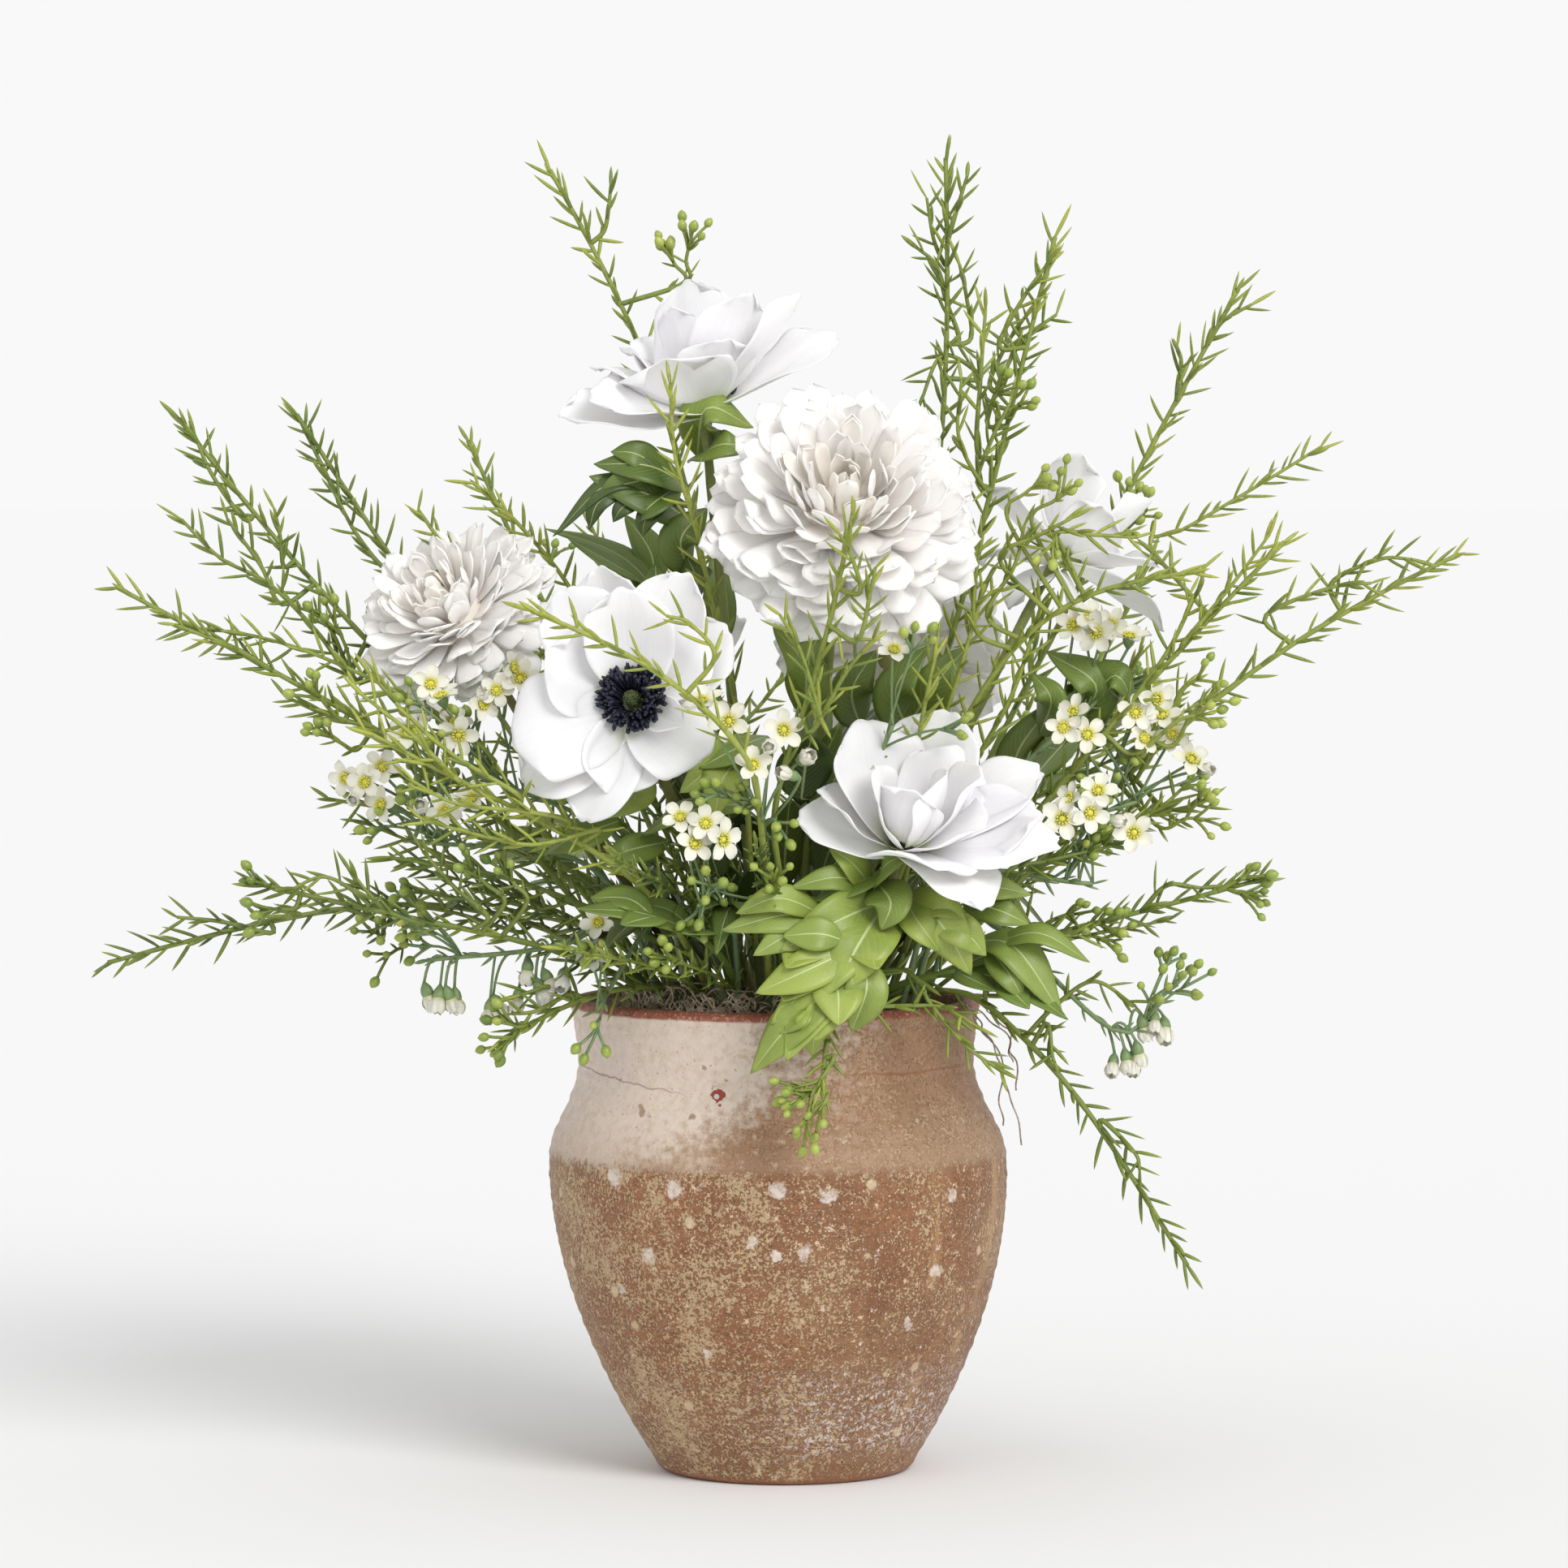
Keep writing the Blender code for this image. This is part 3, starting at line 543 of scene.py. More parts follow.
def pot_finish(radius_at):
    """Old slip glaze: cream above the shoulder on the left, stained tan on the right, and a warm
    brown body below with pale speckle, lime spots, crusts and runs; the lip is bare red clay."""
    made = Finish("old glaze", 0.5, Specular_IOR_Level=0.4)
    x, z, step, mix, wash, noise = made.x, made.z, made.step, made.mix, made.wash, made.noise
    fine, mid, broad = noise(820, 3, 0.62), noise(250, 4, 0.62), noise(22, 3)
    wobble = (noise(60, 3) - 0.5) * 0.006
    height = z + wobble
    cloud = (broad - 0.5) * 0.13
    left = step(x + cloud, 0.05, -0.05)
    pale = step(x + (z * -1.15 + 0.216) + (cloud + (mid - 0.5) * 0.09), 0.040, -0.016)

    body = wash((128, 86, 56), (146, 98, 62), broad, 0.3, 0.7)
    body = wash(body, (102, 66, 42), mid, 0.35, 0.7, 0.7)
    body = wash(body, (132, 102, 74), noise(9, 3), 0.42, 0.62, 0.45)
    speckle = fine * 0.6 + mid * 0.4
    dense = left * 0.060 + step(noise(36, 3), 0.35, 0.68, -0.03, 0.045)
    body = wash(body, (190, 166, 128), speckle + dense, 0.535, 0.625, 0.8)
    body = wash(body, (216, 200, 172), noise(1100, 2), 0.62, 0.69, 0.7)
    fleck = step(noise(260, 5, 0.75), 0.60, 0.64, 0, 0.85)
    body = mix(fleck, body, (212, 190, 156))
    white = step(noise(190, 5, 0.8), 0.63, 0.66) * step(x, -0.04, 0.05, 0.25, 0.9)
    body = mix(white, body, (222, 212, 204))
    body = wash(body, (82, 54, 38), noise(640, 3), 0.42, 0.33, 0.6)
    runs = step(noise(70, 3, at=made.stretched(1, 1, 0.10)), 0.54, 0.68, 0, 0.45)
    body = mix(runs * step(x, 0.02, 0.06), body, (188, 150, 106))
    drop = step(made.cells(70) + mid * 0.16, 0.30, 0.2) * step(made.cells(70, "Color"), 0.62, 0.7)
    body = mix(drop * 0.65, body, (214, 192, 158))
    low_right = step(x, -0.03, 0.02) * step(height, 0.058, 0.036) * step(height, 0.008, 0.02)
    crust = step(noise(480, 5, 0.8) + broad * 0.14, 0.60, 0.66) * low_right
    body = mix(crust * 0.85, body, (224, 210, 206))

    cream = wash((216, 200, 186), (202, 184, 166), mid, 0.35, 0.75)
    cream = wash(cream, (212, 194, 186), broad, 0.45, 0.7, 0.6)
    stain = wash((160, 130, 102), (134, 100, 72), mid, 0.38, 0.65)
    stain = wash(stain, (194, 172, 142), speckle + 0.02, 0.53, 0.61, 0.7)
    stain = wash(stain, (142, 100, 68), noise(13, 3), 0.40, 0.62, 0.5)
    stain = wash(stain, (104, 74, 54), noise(560, 3), 0.42, 0.33, 0.5)
    upper = mix(pale, stain, cream)
    upper = wash(upper, (150, 92, 64), noise(700, 2), 0.67, 0.71, 0.6)
    upper = mix(fleck * step(height, 0.172, 0.150, 0, 0.8), upper, (208, 190, 164))
    upper = wash(upper, (160, 132, 104), height, 0.158, POT_BAND, 0.35)
    band = step(height + (mid - 0.5) * 0.016, POT_BAND - 0.0030, POT_BAND + 0.0026)
    whole = mix(band, body, upper)

    def on_front(x, z):
        """The place on the front of the wall at x and z in millimetres."""
        return x * MM, -math.sqrt(radius_at(z * MM) ** 2 - (x * MM) ** 2), z * MM

    for at_x, at_z, radius in LIME_SPOTS:
        blot = made.near(on_front(at_x, at_z), radius * MM, 0.008, 0.45)
        whole = mix(blot * step(mid, 0.66, 0.4, 0.45, 1.0) * 0.85, whole, (218, 206, 196))
    for at_x, at_z, radius in STAIN_SPOTS:
        blot = made.near(on_front(at_x, at_z), radius * MM, 0.009, 0.6)
        whole = mix(blot * 0.7, whole, (138, 104, 70))
    chip = made.near(on_front(CHIP_X, CHIP_Z), 0.0030, 0.009, 0.25)
    whole = mix(chip, whole, (142, 62, 40))
    whole = mix(made.near(on_front(CHIP_X, CHIP_Z), 0.0013, 0.001, 0.3), whole, (196, 190, 192))
    crack = abs(z + (x * 0.16 + noise(90, 2) * 0.004) - CRACK_Z)
    crack = step(crack, 0.00045, 0.0001) * step(x, -0.032, -0.06)
    whole = mix(crack * 0.45, whole, (128, 92, 70))
    line = step(abs(height - LINE_Z), 0.0009, 0.0002, 0, 0.6) * step(x, 0.015, 0.04)
    whole = mix(line, whole, (134, 84, 50))

    red = wash((156, 92, 72), (128, 72, 54), mid, 0.35, 0.7)
    red = wash(red, (206, 170, 150), fine, 0.56, 0.64, 0.6)
    whole = mix(step(z + wobble * 0.35, 0.1958, 0.1970), whole, red)
    whole = wash(whole, (150, 96, 66), z, 0.0045, 0.001, 0.7)

    relief = mid * 0.5 + fine * 0.35 + band * 0.45 + crust * 0.5 - (chip + crack * 0.8)
    made.bump(relief, 0.55, 0.0016)
    made.join(step(mid, 0.3, 0.7, 0.42, 0.72), made.shader.inputs["Roughness"])
    return made.colour(whole)


def plain_finish(name, dark, light, scale, roughness):
    """A mottled matt finish: two shades mixed by noise, which also roughens the surface."""
    made = Finish(name, roughness)
    mottle = made.noise(scale, 4, 0.65)
    made.bump(mottle, 0.4, 0.001)
    return made.colour(made.wash(dark, light, mottle, 0.35, 0.68))


WHITE_PETAL = petal_finish("white petal", (251, 250, 250), (236, 233, 237), (220, 228, 180), (248, 244, 247))
CREAM_PETAL = petal_finish("cream petal", (255, 253, 250), (252, 247, 242), (250, 238, 222), (255, 246, 230))
SMALL_PETAL = petal_finish("small petal", (240, 238, 224), (228, 224, 204), (226, 222, 150), (236, 230, 200))
NEEDLE = green_finish("needle", (58, 78, 32), (108, 128, 48), (168, 176, 74))
TWIG = green_finish("twig", (70, 86, 40), (116, 132, 56), (162, 170, 76), 0.55, 0.15)
WAXY = green_finish("waxy stem", (74, 98, 66), (110, 134, 90), (150, 168, 108), 0.45, 0.3)
BUD = green_finish("bud", (88, 114, 44), (136, 156, 66), (178, 186, 88), 0.38, 0.25, 300)
STALK = green_finish("flower stalk", (96, 54, 38), (104, 118, 56), (150, 158, 86), 0.55, 0.1)
LEAF = leaf_finish()
STAMEN = plain_finish("stamen", (16, 16, 28), (48, 50, 74), 900, 0.55)
EYE = plain_finish("flower eye", (44, 52, 40), (104, 116, 62), 900, 0.6)
YELLOW = plain_finish("yellow ring", (206, 196, 44), (230, 226, 110), 900, 0.5)
MOSS = plain_finish("dried moss", (128, 112, 94), (196, 180, 158), 300, 0.85)
FOAM = plain_finish("dry foam", (52, 74, 54), (74, 98, 70), 700, 0.95)


# ---------------------------------------------------------------- pot, foam and moss


def pot_profile():
    """The pot's wall radii by height, from the rings of its CAD solid: outer, then inner."""
    points = corners_of("pot")[0]
    radius = np.linalg.norm(points[:, :2], axis=1)
    outer, inner = [], []
    for z in np.unique(np.round(points[radius > 0.03, 2], 4)):
        ring = radius[(np.abs(points[:, 2] - z) < 2e-4) & (radius > 0.03)]
        walls = np.ptp(ring) > 0.004
        if walls or z < 0.001:
            outer.append((ring.max(), z))
        if walls:
            inner.append((ring.min(), z))
    return np.array(outer), np.array(inner)


def smooth_wall(rings, count):
    """Radii and heights read at equal steps of the smooth curve through the rings."""
    flat = np.stack([rings[:, 0], np.zeros(len(rings)), rings[:, 1]], axis=1)
    return through(flat, count)[:, [0, 2]]


def make_pot():
    """The wall as a surface of revolution, with faint throwing rings, a glaze edge at the
    shoulder, a rolled lip, and a hand-made wander of the radius with the angle."""
    outer, inner = pot_profile()
    outer_wall = smooth_wall(outer, 190)
    inner_wall = smooth_wall(inner, 70)[::-1]
    top, wall = MOUTH[2], outer_wall[-1, 0] - inner_wall[0, 0]
    start = outer_wall[-1, 1]
    angle = np.linspace(0, math.pi, 16)[1:-1]
    middle = outer_wall[-1, 0] + LIP_BULGE / 2 - wall / 2
    lip_radius = middle + (wall + LIP_BULGE) / 2 * np.cos(angle)
    lip = np.stack([lip_radius, start + (top - start) * np.sin(angle) ** 0.6], axis=1)
    bevel = np.linspace(0, math.pi / 2, 6)
    foot = outer_wall[0, 0]
    edge = np.stack([foot - 0.003 + 0.003 * np.sin(bevel), 0.003 - 0.003 * np.cos(bevel)], axis=1)
    edge[:, 0] += 0.0022 * edge[:, 1] / 0.003
    under = np.linspace((0.0, 0.0), (foot - 0.004, 0.0), 8)
    floor_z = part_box("foam")[0][2] - 0.0003
    floor = np.linspace((inner_wall[-1, 0] - 0.003, floor_z), (0.0, floor_z), 6)
    body = outer_wall[outer_wall[:, 1] > 0.0045]
    z = body[:, 1]
    rings = 0.00020 * np.sin(z * 740) * np.sin(z * 31) + 0.00012 * np.sin(z * 1310 + 1)
    glaze = 0.0005 / (1 + np.exp(-(z - POT_BAND) / 0.0006))
    groove = 0.0006 * np.exp(-(((z - 0.1925) / 0.0011) ** 2))
    body[:, 0] += rings + glaze - groove
    profile = np.concatenate([under, edge, body, lip, inner_wall, floor])
    turn = np.arange(256) * 2 * math.pi / 256
    radius, height = profile[:, :1], profile[:, 1:]
    wander = 0.0035 * np.cos(2 * turn + 0.6) + 0.0024 * np.cos(3 * turn + height * 24)
    radius = radius * (1 + wander * np.clip(height / 0.02, 0, 1))
    x = radius * np.cos(turn) - POT_LEAN * (height - 0.1)
    grid = np.stack([x, radius * np.sin(turn), np.broadcast_to(height, radius.shape)], axis=-1)
    surface = Surface()
    surface.add(grid, wrap=True)
    finish = pot_finish(lambda z: float(np.interp(z, outer[:, 1], outer[:, 0])))
    make_piece("turned_pot", surface, [finish], ["pot"])


MOSS_RADIUS = 0.070
# Where the wisps leave the rim on the right, and how far each of them hangs
WISP_FEET = ((0.078, -0.034, 0.199), (0.080, -0.030, 0.200), (0.076, -0.038, 0.200), (0.079, -0.026, 0.199))
WISP_FALLS = (0.055, 0.040, 0.062, 0.030)


def around(radius, angle, height):
    """Points at a distance and an angle round the pot's axis, at a height."""
    parts = (radius * np.cos(angle), radius * np.sin(angle), height)
    return np.stack(np.broadcast_arrays(*parts), axis=-1)


def make_moss(rng):
    """Curly dried fibres: each is a wandering loop whose heading turns by a sum of sines. Four
    longer wisps fall over the rim along a bent line."""
    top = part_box("moss")[1][2]
    count, steps = 760, 18
    radius = MOSS_RADIUS * np.sqrt(rng.random(count))
    angle = rng.random(count) * 2 * math.pi
    start = around(radius, angle, top - 0.002 + 0.007 * rng.random(count))
    near = count // 5
    turn = np.radians(rng.uniform(-150, -92, near))
    start[:near] = around(MOSS_RADIUS, turn, rng.uniform(0.192, 0.203, near))
    paths = curls(rng, start, steps, 0.0026, 0.35)
    limit = np.linalg.norm(paths[..., :2], axis=-1, keepdims=True)
    paths[..., :2] *= np.minimum(1, 0.0735 / limit)
    paths[..., 2] = np.clip(paths[..., 2], top - 0.004, top + 0.0255)
    surface = Surface()
    surface.add(tubes(paths, np.full((count, steps), 0.00042), 4), wrap=True, tone=rng.random(count))
    wisps = curls(rng, np.array(WISP_FEET), 34, 0.0028, 0.30)
    fall = np.linspace(0, 1, 34)[None, :, None]
    loose = np.array((0.35, 0.35, 0.25))
    wisps = wisps * loose + np.array(WISP_FEET[0][:2] + (0.2,)) * (1 - loose)
    wisps += fall * np.array((0.014, -0.010, 0.004)) * np.sin(fall * math.pi / 2 + 0.6)
    wisps[..., 2] -= (fall[..., 0] ** 1.6) * np.array(WISP_FALLS)[:, None]
    surface.add(tubes(wisps, np.full((4, 34), 0.00034), 4), wrap=True, tone=0.3)
    make_piece("moss_curls", surface, [MOSS])


def curls(rng, start, steps, stride, drift):
    """Paths that turn as they go: heading and pitch are sums of sines with random phases."""
    count = len(start)
    t = np.arange(steps)[None] * drift
    phase = rng.random((4, count, 1)) * 2 * math.pi
    speed = rng.uniform(0.6, 1.6, (2, count, 1))
    heading = phase[0] + 2.4 * np.sin(speed[0] * t + phase[1]) + t * rng.uniform(-1.5, 1.5, (count, 1))
    pitch = 0.9 * np.sin(speed[1] * t * 1.7 + phase[2])
    move = around(np.cos(pitch), heading, np.sin(pitch))
    return start[:, None] + np.cumsum(move, axis=1) * stride


# ---------------------------------------------------------------- anemones


# Each petal: its tip in millimetres from the head's centre, its half width in millimetres, how
# far its spine bulges away from the axis as a share of its length, its cup, and its roll.
ANEMONE_PETALS = {
    "anemone_front_left": (
        (-3, -14, 45, 17, 0.17, 0.9, 0), (-30, -2, 45, 16, 0.12, 0.6, 0), (-15, 4, 55, 14, 0.1, 0.5, 0),
        (21, 2, 53, 15, 0.1, 0.6, 0), (38, -2, 30, 16, 0.12, 0.6, 0), (26, -10, 28, 14, 0.17, 0.8, 0),
        (-51, -8, -14, 20, -0.15, -0.4, 0), (-47, 3, -34, 15, -0.08, 0.2, 0),
        (-21, -6, -49, 12, -0.1, -0.2, 0), (-8, -10, -38, 13, -0.08, 0.4, 0.3),
        (30, -10, -21, 17, -0.04, 0.5, 0), (20, -17, -8, 7, 0.22, 1.2, 0), (-36, -4, 20, 15, 0.08, 0.5, 0),
    ),
    "anemone_front_right": (
        (-14, -2, 51, 20, 0.15, 0.7, 0), (20, 16, 55, 18, 0.12, 0.6, 0), (24, 4, 39, 15, 0.15, 0.7, 0),
        (56, 6, 33, 12, 0.08, 0.5, -0.3), (56, -6, 15, 14, 0.08, 0.5, -0.3),
        (-32, -14, 24, 12, 0.17, 0.8, 0), (-42, -8, 14, 12, 0.1, 0.6, 0.3), (5, -24, 25, 13, 0.2, 0.9, 0),
        (32, -26, 13, 15, 0.15, 0.7, 0), (14, -38, -7, 19, -0.06, -0.3, 0),
        (64, -18, 2, 12, 0.02, 0.3, -0.2), (36, -26, -22, 14, -0.08, 0.3, 0),
        (34, 30, 30, 16, 0.12, 0.6, 0), (-16, 22, 34, 15, 0.12, 0.6, 0), (-8, -24, 31, 15, 0.22, 0.9, 0),
        (16, -22, 30, 15, 0.22, 0.9, 0), (30, -16, 32, 14, 0.2, 0.8, 0),
    ),
    "anemone_top": (
        (-7, 10, 52, 18, 0.14, 0.6, 0), (-45, 6, 21, 10, 0.06, 0.6, 0.3), (-32, 12, 28, 9, 0.08, 0.6, 0.3),
        (-16, -26, 22, 22, 0.17, 0.6, 0), (-60, -10, -2, 17, 0.05, 0.4, 0.7),
        (17, -16, 49, 17, 0.15, 0.7, 0), (40, -4, 48, 17, 0.11, 0.5, -0.3),
        (54, 2, 34, 17, 0.09, 0.5, -0.4), (-46, -22, 8, 16, 0.08, 0.4, 0.5), (22, 30, 38, 17, 0.12, 0.6, 0),
        (-22, 34, 32, 17, 0.12, 0.6, 0), (-12, -4, 42, 11, 0.1, 0.8, 0), (8, -26, 30, 14, 0.15, 0.7, 0),
        (-40, 22, 12, 14, 0.04, 0.5, 0), (4, 12, 42, 12, 0.1, 0.8, 0),
    ),
    "anemone_right": (
        (-30, 2, 34, 16, 0.1, 0.6, 0), (-36, -4, 4, 14, 0.02, 0.5, 0), (-24, -10, -18, 13, -0.04, 0.4, 0),
        (10, 6, 44, 15, 0.12, 0.6, 0), (46, -6, -27, 11, -0.06, 0.4, 0), (42, -2, 0, 14, 0.04, 0.5, 0),
        (38, 10, 26, 15, 0.1, 0.6, 0), (-6, 24, 32, 15, 0.1, 0.6, 0), (16, 30, 8, 14, 0.04, 0.5, 0),
        (20, -16, 22, 12, 0.14, 0.7, 0), (4, -20, -22, 12, -0.04, 0.4, 0),
    ),
    "anemone_rear": (
        (42, -10, 50, 13, 0.06, 0.5, 0), (-30, 26, 30, 16, 0.12, 0.6, 0), (-46, 8, 2, 15, 0.05, 0.5, 0),
        (-10, 40, 26, 17, 0.12, 0.6, 0), (20, 36, 20, 15, 0.1, 0.6, 0), (-22, 34, -26, 15, -0.02, 0.5, 0),
        (12, 30, -20, 14, 0.0, 0.5, 0), (-16, 10, 42, 15, 0.12, 0.6, 0), (28, 14, 36, 14, 0.1, 0.6, 0),
        (-30, 34, 6, 13, 0.14, 0.8, 0), (2, 40, 10, 12, 0.16, 0.8, 0),
    ),
}


# The anemones whose short stamens stay hidden between their inner petals
CLOSED_HEARTS = ("anemone_front_right", "anemone_right")


def tipped_petals(head, tips, half, bulge, cup, roll, rng, rows=26, columns=19):
    """Petals given by their tips: the spine is a quadratic arc from the centre to the tip that
    bulges away from the head's axis; the half width rises as a quarter sine from a broad foot and
    closes as an ellipse, rounded off at the tip with a shallow notch; across it bends as an arc of
    half angle cup; the edges wave with a sine of the way along, and the petal twists a little."""
    size = len(tips)
    length = np.linalg.norm(tips, axis=1)[:, None, None]
    aim = unit(tips)
    inner = unit(head.z - aim * (aim @ head.z)[:, None])[:, None]
    start = head.centre - inner * 0.0030 + head.z * 0.0012
    end = head.centre + tips[:, None]
    control = (start + end) / 2 - inner * column(bulge, size) * length
    u = np.linspace(0, 1, rows)[None, :, None]
    spine = (1 - u) ** 2 * start + 2 * u * (1 - u) * control + u**2 * end
    tangent = unit((1 - u) * (control - start) + u * (end - control))
    side = unit(np.cross(tangent, inner))
    normal = np.cross(side, tangent)
    twist = column(roll, size) + column(rng.normal(0, 0.22, size), size) * u
    whole, part = np.cos(twist), np.sin(twist)
    side, normal = whole * side + part * normal, whole * normal - part * side
    v = np.linspace(-1, 1, columns)[None, None, :]
    phase = column(rng.uniform(0, 6.28, size), size)
    grow = 0.34 + 0.66 * np.sin(math.pi / 2 * np.clip(u / 0.60, 0, 1))
    close = np.sqrt(1 - 0.86 * (np.clip(u - 0.60, 0, 1) / 0.40) ** 2.6)
    width = column(half, size) * grow * close * (1 + 0.05 * np.sin(7 * u + phase))
    bend = column(cup, size)
    bend = np.where(np.abs(bend) < 0.05, 0.05, bend) * (1 - 0.35 * u)
    across = width * np.sin(v * bend) / bend
    over = width * (1 - np.cos(v * bend)) / bend
    wave = np.sin(8.5 * u + phase + 2.2 * np.sign(v)) * np.abs(v) ** 2.5
    slack = np.clip(column(half, size) / 0.020, 0.2, 1) ** 1.5
    over = over + (0.0028 * wave + 0.0013 * np.sin(3 * v + phase)) * u**1.3 * slack
    over = over - 0.0026 * np.clip((u - 0.72) / 0.28, 0, 1) ** 2 * (1 + np.sin(phase))
    over = over - 0.0007 * np.exp(-((v / 0.16) ** 2)) * np.sin(math.pi * u)
    notch = 0.03 * length * np.exp(-(((v - 0.3 * np.sin(phase)) / 0.3) ** 2)) * u**7
    notch = notch + 0.42 * column(half, size) * (1 - np.sqrt(1 - 0.97 * v**2)) * u**8
    return (
        spine[:, :, None]
        + side[:, :, None] * across[..., None]
        + normal[:, :, None] * over[..., None]
        - tangent[:, :, None] * notch[..., None]
    )


def make_anemone(head, rng):
    """Broad cupped petals, a dense ring of dark stamens and a green eye."""
    table = np.array(ANEMONE_PETALS[head.name], float)
    tips, half, shape = table[:, :3] * MM, table[:, 3] * 1.25 * MM, table[:, 4:].T
    surface = Surface()
    grid = tipped_petals(head, tips, half, *shape, rng)
    surface.add(grid, tone=rng.random(len(table)) * 0.5)
    petal_nodes = [n for n in head.nodes if "petals" in n]
    make_piece(f"{head.name}_petals", surface, [WHITE_PETAL], petal_nodes, PETAL_WALL)

    centre = Surface()
    number = 230
    small = 0.4 if head.name in CLOSED_HEARTS else 1.0
    turn = np.arange(number) * GOLDEN
    reach = np.sqrt(rng.uniform(0.12, 1.0, number))
    foot = spot_on(head, turn, (0.0024 + 0.0042 * reach) * small, 0.0020 * small)
    out, up = (0.0026 + 0.0112 * reach) * small, (0.0105 - 0.0045 * reach**2) * small
    end = spot_on(head, turn + rng.normal(0, 0.12, number), out, up)
    lines = arcs(foot, end, np.outer(rng.uniform(0.0005, 0.002, number), head.z), 5)
    centre.add(tubes(lines, np.full((number, 5), 0.00038), 4), wrap=True)
    lean = head.z * rng.uniform(-0.2, 0.9, number)[:, None]
    facing = unit(unit(end - foot) + lean + rng.normal(0, 0.25, (number, 3)))
    size = rng.uniform(0.8, 1.15, number)
    centre.add(beads(end, facing, 0.00088 * size, 0.0046 * size, 5, 5), wrap=True)
    knobs = 60
    spread = np.sqrt((np.arange(knobs) + 0.5) / knobs)
    rise = 0.0050 + 0.0030 * np.sqrt(1 - 0.9 * spread**2)
    dome = spot_on(head, np.arange(knobs) * GOLDEN, 0.0032 * spread, rise)
    facing = unit(dome - head.centre)
    centre.add(beads(dome, facing, np.full(knobs, 0.00055), np.full(knobs, 0.0019), 5, 5), wrap=True, slot=1)
    add_bead(centre, head.centre + head.z * 0.0046, head.z, 0.0032, 0.0070, 9, 14, slot=1)
    boss_nodes = [n for n in head.nodes if "boss" in n]
    make_piece(f"{head.name}_stamens", centre, [STAMEN, EYE], boss_nodes)


def spot_on(head, turn, out, up):
    """Points on a head from their angle round its axis, distance from it and height along it."""
    across = np.cos(turn)[:, None] * head.x + np.sin(turn)[:, None] * head.y
    return head.centre + across * np.reshape(out, (-1, 1)) + np.reshape(up, (-1, 1)) * head.z


# ---------------------------------------------------------------- dahlias


def make_dahlia(head, rng):
    """Spoon petals set on a dome by golden angles: those at the heart short, upright and curled
    in, those outside long, broad and turned down, each bent across like a shallow channel."""
    count = 190
    lean = 0.30 if head.name == "dahlia_centre" else 0.0
    head.z = unit(head.z + (0, -lean, 0))
    head.y = unit(np.cross(head.z, head.x))
    head.x = np.cross(head.y, head.z)
    share = ((np.arange(count) + 0.5) / count) ** 0.56
    azimuth = np.arange(count) * GOLDEN + rng.normal(0, 0.16, count)
    polar = share * 1.62
    reach = head.radius
    below = np.sin(azimuth) < -0.1
    tilt = polar * 0.90 + 0.16 + rng.normal(0, 0.13, count)
    curl = -0.85 + 1.30 * share**1.3 + rng.normal(0, 0.22, count)
    length = reach * (0.34 + 0.32 * share + rng.normal(0, 0.045, count))
    length = length * np.where(rng.random(count) < 0.06, 1.14, 1.0)
    width = reach * (0.054 + 0.078 * share) * rng.uniform(0.88, 1.15, count) * np.where(below, 1.15, 0.95)
    cup = np.where(below, 0.55 - 1.25 * share, 0.95 - 0.9 * share) + rng.normal(0, 0.22, count)
    surface = Surface()
    grid = petals(
        head, azimuth, reach * 0.30 * np.sin(polar), reach * 0.24 * np.cos(polar) + 0.004,
        tilt, curl, length, width, cup=np.where(np.abs(cup) < 0.1, 0.1, cup), neck=0.42, rise=0.80, tip=0.78,
        ruffle=0.0009, waves=1.0, phase=rng.random(count) * 6.28,
        point=np.where((rng.random(count) < 0.2) & ~below, 0.7, 0.0), rows=11, columns=7,
    )  # fmt: skip
    surface.add(grid, tone=np.clip(1.0 - share * 1.15 + rng.normal(0, 0.10, count), 0, 1))
    core = head.centre + head.z * reach * 0.17
    add_bead(surface, core, head.z, reach * 0.34, reach * 0.42, 12, 24, 0.9)
    make_piece(f"{head.name}_petals", surface, [CREAM_PETAL], head.nodes, DAHLIA_WALL)


def make_flower_stems():
    """Round stems that swell into a cup under each head."""
    for head in HEADS.values():
        line = line_of(head.name + "_stem", 40)
        end = np.linspace(0, 1, 40)
        radius = 0.0019 + 0.0030 * np.clip((end - 0.955) / 0.045, 0, 1) ** 1.5
        radius += 0.0003 * np.sin(end * 23) ** 8
        surface = Surface()
        surface.add(tubes(line[None], radius[None], 12), wrap=True, tone=0.25 + 0.4 * (head.centre[2] > 0.36))
        cup = 9
        spread = petals(
            head, np.arange(cup) * 2 * math.pi / cup, 0.002, -0.0035, np.radians(58.0), -0.25,
            head.radius * 0.24, head.radius * 0.075, cup=0.5, point=1.0, rows=7, columns=5,
        )  # fmt: skip
        surface.add(spread, tone=0.5)
        make_piece(f"{head.name}_stalk", surface, [STALK], [head.name + "_stem"])


# ---------------------------------------------------------------- sprigs


